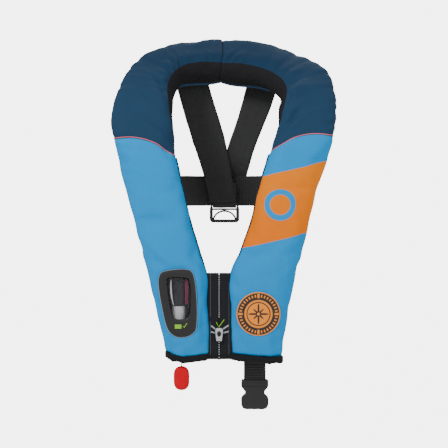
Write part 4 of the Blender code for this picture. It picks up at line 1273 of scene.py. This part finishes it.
def build_puller(looks):
    """The flat pull of the slider, with its oval eye closed by a black disc as painted shade."""
    x, y, z = ZIP_X, -0.1481, -0.4520
    half = (
        (0.0052, 0.0010), (0.0064, -0.0008), (0.0066, -0.0040), (0.0060, -0.0090), (0.0050, -0.0180),
        (0.0047, -0.0203)
    )
    corners = [(a, b) for a, b in half] + [(-a, b) for a, b in reversed(half)]
    outline = even_path(np.array([*corners, corners[0]]), 0.0006)[:-1]
    angles = np.arctan2(outline[:, 1] + 0.0080, outline[:, 0])
    eye = np.c_[0.0036 * np.cos(angles), -0.0080 + 0.0048 * np.sin(angles)]
    rings = []
    for share, lift in (
        (0.0, 0.0009), (0.0, -0.0005), (0.10, -0.0009), (0.88, -0.0009), (1.0, -0.0005), (1.0, 0.0009)
    ):
        flat = outline + (eye - outline) * share
        rings.append(np.c_[x + flat[:, 0], np.full(len(flat), y + lift), z + flat[:, 1]])
    puller = plate("puller_visual", rings, looks["metal"], "ring")
    # painted shade: a black disc fills the eye, standing in for the dark seen through the hole
    inset = [np.c_[x + eye[:, 0] * k, np.full(len(eye), y + lift), z - 0.0080 + (eye[:, 1] + 0.0080) * k]
             for k, lift in ((1.04, 0.0008), (1.04, 0.0003), (0.5, 0.0003))]
    eye_shade = plate("puller_eye", inset, looks["black"], "cap")
    for piece in (puller, eye_shade):
        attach(piece, "zip_puller")
    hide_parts("zip_puller")


def build_stitches(name, line, pitch, long, radius, look, body):
    """A row of stitches between points, each a small raised thread."""
    path = even_path(np.array(line, float), pitch)
    ahead = unit(np.gradient(path, axis=0))
    work = bmesh.new()
    for p, t in zip(path, ahead):
        made = bmesh.ops.create_cube(work, size=1.0)["verts"]
        side = np.cross(t, (0, 1, 0))
        if np.linalg.norm(side) < 1e-6:
            side = np.array((1.0, 0, 0))
        side /= np.linalg.norm(side)
        up = np.cross(t, side)
        for v in made:
            taper = 0.6 if abs(v.co.x) > 0.4 else 1.0
            v.co = Vector(
                p + t * v.co.x * long + side * v.co.y * radius * 2 * taper + up * v.co.z * radius * 2
            )
    obj = from_bmesh(name, work, look)
    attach(obj, body)


# ---------------------------------------------------------------- harness and belts
def strap_rows(rows, y):
    """Centre line, across vectors and half widths from (left x, right x, z, y offset) rows."""
    centre = [((left + right) / 2, y + dy, z) for left, right, z, dy in rows]
    half = [(right - left) / 2 for left, right, z, dy in rows]
    return centre, half


def build_harness(looks):
    front = (
        (-0.0887, -0.0298, 0.0020, 0.0030), (-0.0860, -0.0270, -0.0080, 0.0030),
        (-0.0730, -0.0134, -0.0556, 0.0006), (-0.0526, 0.0071, -0.1228, -0.0014),
        (-0.0358, 0.0183, -0.1788, -0.0006), (-0.0262, 0.0230, -0.2120, 0.0004),
        (-0.0246, 0.0239, -0.2317, 0.0010),
    )
    behind = (
        (0.0507, 0.1071, 0.0020, 0.0030), (0.0480, 0.1040, -0.0080, 0.0030),
        (0.0351, 0.0892, -0.0556, 0.0004), (0.0127, 0.0631, -0.1228, 0.0),
        (0.0050, 0.0540, -0.1500, 0.0010), (0.0000, 0.0485, -0.1690, 0.0070),
        (-0.0030, 0.0460, -0.1800, 0.0128),
        (-0.0060, 0.0430, -0.1980, 0.0148), (-0.0080, 0.0400, -0.2120, 0.0150),
    )
    for name, rows, y, node, seed in (
        ("harness_right_visual", front, 0.0404, "harness_strap_right", 0.30),
        ("harness_left_visual", behind, 0.0442, "harness_strap_left", -0.33),
    ):
        centre, half = strap_rows(rows, y)
        flat = np.repeat(np.array([(1.0, 0, 0)]), len(rows), 0)
        strap = webbing(name, centre, flat, half, 0.0017, looks["webbing"], bow=-0.0008, seed=seed)
        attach(strap, "yoke")
        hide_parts(node)
    loop = (
        (0.0436, -0.1960), (0.0436, -0.2250), (0.0439, -0.2360), (0.0455, -0.2400), (0.0480, -0.2413),
        (0.0505, -0.2400), (0.0521, -0.2360), (0.0524, -0.2250), (0.0524, -0.1960),
    )
    route = [(0.0043, y, z) for y, z in loop]
    tab = webbing(
        "ring_loop_visual", route, (1, 0, 0), 0.0220, 0.0014, looks["webbing"], spacing=0.0015, seed=8.0
    )
    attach(tab, "yoke")
    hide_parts("ring_loop")
    build_ring(looks)
    for side, name, node, look, rib in (
        (-1, "belt_right_visual", "back_belt_right", "webbing", 0.0),
        (1, "belt_left_visual", "back_belt_left", "ribbed", 0.0034)
    ):
        points = (
            (0.004, 0.0555), (0.050, 0.0530), (0.095, 0.0380), (0.130, 0.0080), (0.150, -0.0300),
            (0.155, -0.0620), (0.148, -0.0880), (0.134, -0.1010), (0.115, -0.1060), (0.088, -0.1060)
        )
        path = [(side * x, y, BACK_BELT_Z) for x, y in points]
        belt = webbing(
            name, path, (0, 0, 1), 0.028, 0.0018, looks[look], rib=rib, rib_height=0.0006, seed=side * 5.0
        )
        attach(belt, "yoke")
        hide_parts(node)
    box = [
        (-0.0200, 0.0392, -0.1900), (0.0190, 0.0392, -0.1900), (0.0200, 0.0394, -0.2240),
        (-0.0205, 0.0394, -0.2240), (-0.0200, 0.0392, -0.1900)
    ]
    build_stitches("harness_stitches", box, 0.0034, 0.0021, 0.00018, looks["black"], "yoke")


def flat_bar(name, path, wide, deep, look, closed):
    """A bar of oval section along a path in the plane of the front; wide is half its width at each point."""
    path = np.array(path, float)
    count, sides = len(path), 12
    verts = []
    for k, point in enumerate(path):
        before, after = (path[k - 1], path[(k + 1) % count]) if closed else (
            path[max(k - 1, 0)], path[min(k + 1, count - 1)]
        )
        ahead = (after - before) / np.linalg.norm(after - before)
        out = np.cross(ahead, (0.0, 1.0, 0.0))
        for i in range(sides):
            angle = 2 * math.pi * i / sides
            verts.append(
                point + wide[k] * math.cos(angle) * out + np.array((0.0, deep * math.sin(angle), 0.0))
            )
    return new_mesh(name, verts, skin(count, sides, "ring" if closed else "cap"), look)


def build_ring(looks):
    """The crotch-strap ring: a rounded frame, a bar across it and an arch below the bar."""
    x, y, z = RING_CENTRE
    outline = []
    for cx, cz, start in ((1, 1, 0.0), (-1, 1, 0.5), (-1, -1, 1.0), (1, -1, 1.5)):
        for k in range(7):
            angle = math.pi * (start + 0.5 * k / 6)
            outline.append(
                (x + cx * 0.0209 + 0.0037 * math.cos(angle), y, z + cz * 0.0131 + 0.0037 * math.sin(angle))
            )
    outline = even_path([*outline, outline[0]], 0.0012)[:-1]
    low = outline[:, 2].min()
    wide = 0.0017 + 0.0013 * (1 - smooth_step(outline[:, 2], low + 0.023, low + 0.027))
    rim = flat_bar("ring_visual", outline, wide, 0.0012, looks["ring"], True)
    across = [(x + t, y, -0.2443) for t in np.linspace(-0.0240, 0.0240, 12)]
    bar = flat_bar("ring_bar", across, [0.0018] * 12, 0.0012, looks["ring"], False)
    turns = np.linspace(-0.05, math.pi + 0.05, 30)
    arch = [(x + 0.0205 * math.cos(t), y, -0.2650 + 0.0172 * math.sin(t)) for t in turns]
    arch = flat_bar("ring_arch", arch, [0.0017] * 30, 0.0012, looks["ring"], False)
    for piece in (rim, bar, arch):
        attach(piece, "crotch_ring")
    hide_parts("crotch_ring")


def build_lobe_belts(looks):
    for side, x in (("right", -0.098), ("left", 0.098)):
        path = [
            (x, -0.1075, -0.160), (x, -0.1070, -0.165), (x, -0.1020, -0.170), (x, -0.1020, -0.243),
            (x, -0.1072, -0.248), (x, -0.1078, -0.252)
        ]
        keeper = webbing(
            f"keeper_{side}_visual", path, (1, 0, 0), 0.013, 0.0012, looks["webbing"], spacing=0.002, seed=x
        )
        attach(keeper, f"{side}_lobe")
        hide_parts(f"belt_keeper_{side}")
    strap = webbing(
        "belt_down_visual", BELT_DOWN, (1, 0, 0), 0.019, 0.0014, looks["ribbed"], rib=0.0030,
        rib_height=0.0003, seed=2.0
    )
    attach(strap, "left_lobe")
    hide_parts("left_belt_webbing")
    x, y = BUCKLE_X, BUCKLE_Y
    path = [
        (x, y - 0.0004, -0.5050), (x, y - 0.0010, -0.5070), (x, y - 0.0030, -0.5150),
        (x, y - 0.0038, -0.5430), (x, y - 0.0028, -0.5508), (x, y, -0.5527), (x, y + 0.0028, -0.5508),
        (x, y + 0.0038, -0.5430), (x, y + 0.0030, -0.5200), (x, y + 0.0012, -0.5080)
    ]
    end = webbing(
        "belt_end_visual", path, (1, 0, 0), 0.0190, 0.0012, looks["ribbed"], rib=0.0046, rib_height=0.0007,
        seed=6.0
    )
    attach(end, "belt_end")
    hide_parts("belt_end_webbing")
    softened("buckle_female", "buckle_female_visual", looks["buckle"], 0.0011, "belt_end")
    bar = new_box(
        "buckle_bar_visual", (x - 0.0237, y - 0.0078, -0.5538), (x + 0.0237, y - 0.0050, -0.5428),
        looks["buckle"], 0.0012, 3
    )
    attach(bar, "belt_end")
    x, y = -0.0830, -0.0960
    tail = [
        (x, -0.1045, -0.2530), (x, y - 0.0060, -0.2650), (x, y - 0.0036, -0.2850), (x, y - 0.0030, -0.3900),
        (x, y - 0.0026, -0.4000), (x, y, -0.4024), (x, y + 0.0026, -0.4000), (x, y + 0.0030, -0.3900),
        (x, y + 0.0030, -0.3500)
    ]
    strap = webbing("tail_visual", tail, (1, 0, 0), 0.0180, 0.0013, looks["webbing"], spacing=0.002, seed=4.0)
    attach(strap, "male_tail")
    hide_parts("right_belt_webbing")
    softened("buckle_male", "buckle_male_visual", looks["buckle"], 0.0006, "male_tail")
    softened("belt_adjuster", "adjuster_visual", looks["buckle"], 0.0006, "adjuster")
    softened("prong_right", "prong_right_visual", looks["buckle"], 0.0005, "prong_right")
    softened("prong_left", "prong_left_visual", looks["buckle"], 0.0005, "prong_left")


# ---------------------------------------------------------------- inflation gear
def build_gear(looks):
    for node, look in (
        ("co2_cylinder", "steel"), ("inflator_body", "black"), ("status_cap", "white"),
        ("lever_pin", "steel"), ("oral_tube", "black"),
        ("oral_valve_cap", "black"), ("whistle", "orange"),
    ):
        mesh = bpy.data.objects[node].data
        mesh.materials.clear()
        mesh.materials.append(looks[look])
    softened("inflator_lever", "lever_visual", looks["black"], 0.0006, "lever")
    build_toggle(looks)


def build_toggle(looks):
    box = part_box("pull_toggle")
    low, high = (np.array(c) for c in box)
    centre = (low + high) / 2
    size = (high - low) / 2 * np.array((1.07, 1.0, 1.0))
    rings = []
    count = 40
    for k in range(25):
        t = -1 + 2 * k / 24
        fall = (1 - abs(t) ** 3.2) ** 0.42 if abs(t) < 1 else 0.0
        ring = []
        for i in range(count):
            angle = 2 * math.pi * i / count
            c, s = math.cos(angle), math.sin(angle)
            x = math.copysign(abs(c) ** 0.85, c) * size[0] * max(fall, 0.22)
            y = math.copysign(abs(s) ** 0.85, s) * size[1] * max(fall, 0.20)
            dish = 0.0010 * math.exp(-((x / (size[0] * 0.55)) ** 2) - ((t / 0.55) ** 2))
            y -= math.copysign(dish, y)
            ring.append((centre[0] + x, centre[1] + y, centre[2] + t * size[2]))
        rings.append(np.array(ring))
    toggle = plate("toggle_visual", rings, looks["red"], "cap")
    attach(toggle, "toggle")
    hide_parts("pull_toggle")
    top, bottom = -0.4470, -0.5237
    route = [(PULL_X, PULL_Y, z) for z in np.linspace(top, bottom, 20)]
    curve = bpy.data.curves.new("pull_cord_visual", "CURVE")
    curve.dimensions = "3D"
    curve.bevel_depth = 0.0009
    curve.bevel_resolution = 3
    curve.use_fill_caps = True
    line = curve.splines.new("POLY")
    line.points.add(len(route) - 1)
    for k, p in enumerate(route):
        line.points[k].co = (*p, 1.0)
    curve.materials.append(looks["cord"])
    cord = add("pull_cord_visual", curve)
    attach(cord, "toggle")
    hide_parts("pull_cord")


# ---------------------------------------------------------------- stage
WORLD_STRENGTH = 0.75
KEY_POWER = 48.0
FLOOR_Z = -1.15
BACKDROP_Y = 3.4
BACKDROP_HALF = 1.15
BACKDROP_GLOW = 4.6


def area_light(name, place, target, size, power, colour=(1, 1, 1)):
    light = bpy.data.lights.new(name, "AREA")
    light.shape = "DISK"
    light.size = size
    light.energy = power
    light.color = colour
    obj = add(name, light)
    obj.location = place
    obj.rotation_euler = (Vector(target) - Vector(place)).to_track_quat("-Z", "Y").to_euler()


def build_stage():
    world = bpy.data.worlds.new("studio")
    world.use_nodes = True
    world.node_tree.nodes["Background"].inputs["Color"].default_value = (1.0, 1.0, 1.0, 1.0)
    world.node_tree.nodes["Background"].inputs["Strength"].default_value = WORLD_STRENGTH
    bpy.context.scene.world = world
    work = bmesh.new()
    bmesh.ops.create_circle(work, cap_ends=True, radius=1.1, segments=96)
    g = Graph("floor_pale")
    pale = g.noise(g.place(), 3.0)
    g.set(Base_Color=g.mix(pale, (0.86, 0.86, 0.86), (0.90, 0.90, 0.90)), Roughness=0.9)
    floor = from_bmesh("floor", work, g.mat)
    floor.location = (0, 0, FLOOR_Z)
    build_backdrop()
    aim = (0.0, -0.08, -0.22)
    area_light("key", (-1.5, -1.9, 1.5), aim, 0.9, KEY_POWER)
    area_light("fill", (1.9, -1.9, 0.1), aim, 1.8, KEY_POWER * 0.25)
    area_light("back", (0.3, 1.9, 1.2), aim, 1.5, KEY_POWER * 0.45)
    camera_data = bpy.data.cameras.new("camera")
    camera_data.lens = 100
    camera_data.sensor_width = 36
    camera = add("camera", camera_data)
    camera.location = (0.0034, -2.2756, -0.272)
    camera.rotation_euler = (math.radians(90), 0, 0)
    bpy.context.scene.camera = camera


def build_backdrop():
    """A lit white screen, far enough behind to stand outside every view but the front one."""
    work = bmesh.new()
    bmesh.ops.create_grid(work, x_segments=1, y_segments=1, size=BACKDROP_HALF)
    g = Graph("backdrop_white")
    g.set(
        Base_Color=(0.9, 0.9, 0.9), Roughness=0.9, Emission_Color=(1.0, 1.0, 1.0),
        Emission_Strength=BACKDROP_GLOW
    )
    screen = from_bmesh("backdrop", work, g.mat)
    screen.location = (0, BACKDROP_Y, -0.27)
    screen.rotation_euler = (math.radians(90), 0, 0)


def main():
    looks = make_materials()
    covers = {side: padded_half(side, looks[f"cover_{side}"]) for side in ("right", "left")}
    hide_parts("yoke_cover", "collar_liner", "right_lobe_cover", "right_lobe_back")
    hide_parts("yoke_cover", "collar_liner", "left_lobe_cover", "left_lobe_back")
    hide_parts("bladder_right", "bladder_collar")
    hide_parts("bladder_left")
    build_edges(covers, looks)
    build_window(looks)
    build_emblem(looks)
    build_zip(looks)
    build_harness(looks)
    build_lobe_belts(looks)
    build_gear(looks)
    build_stage()


main()
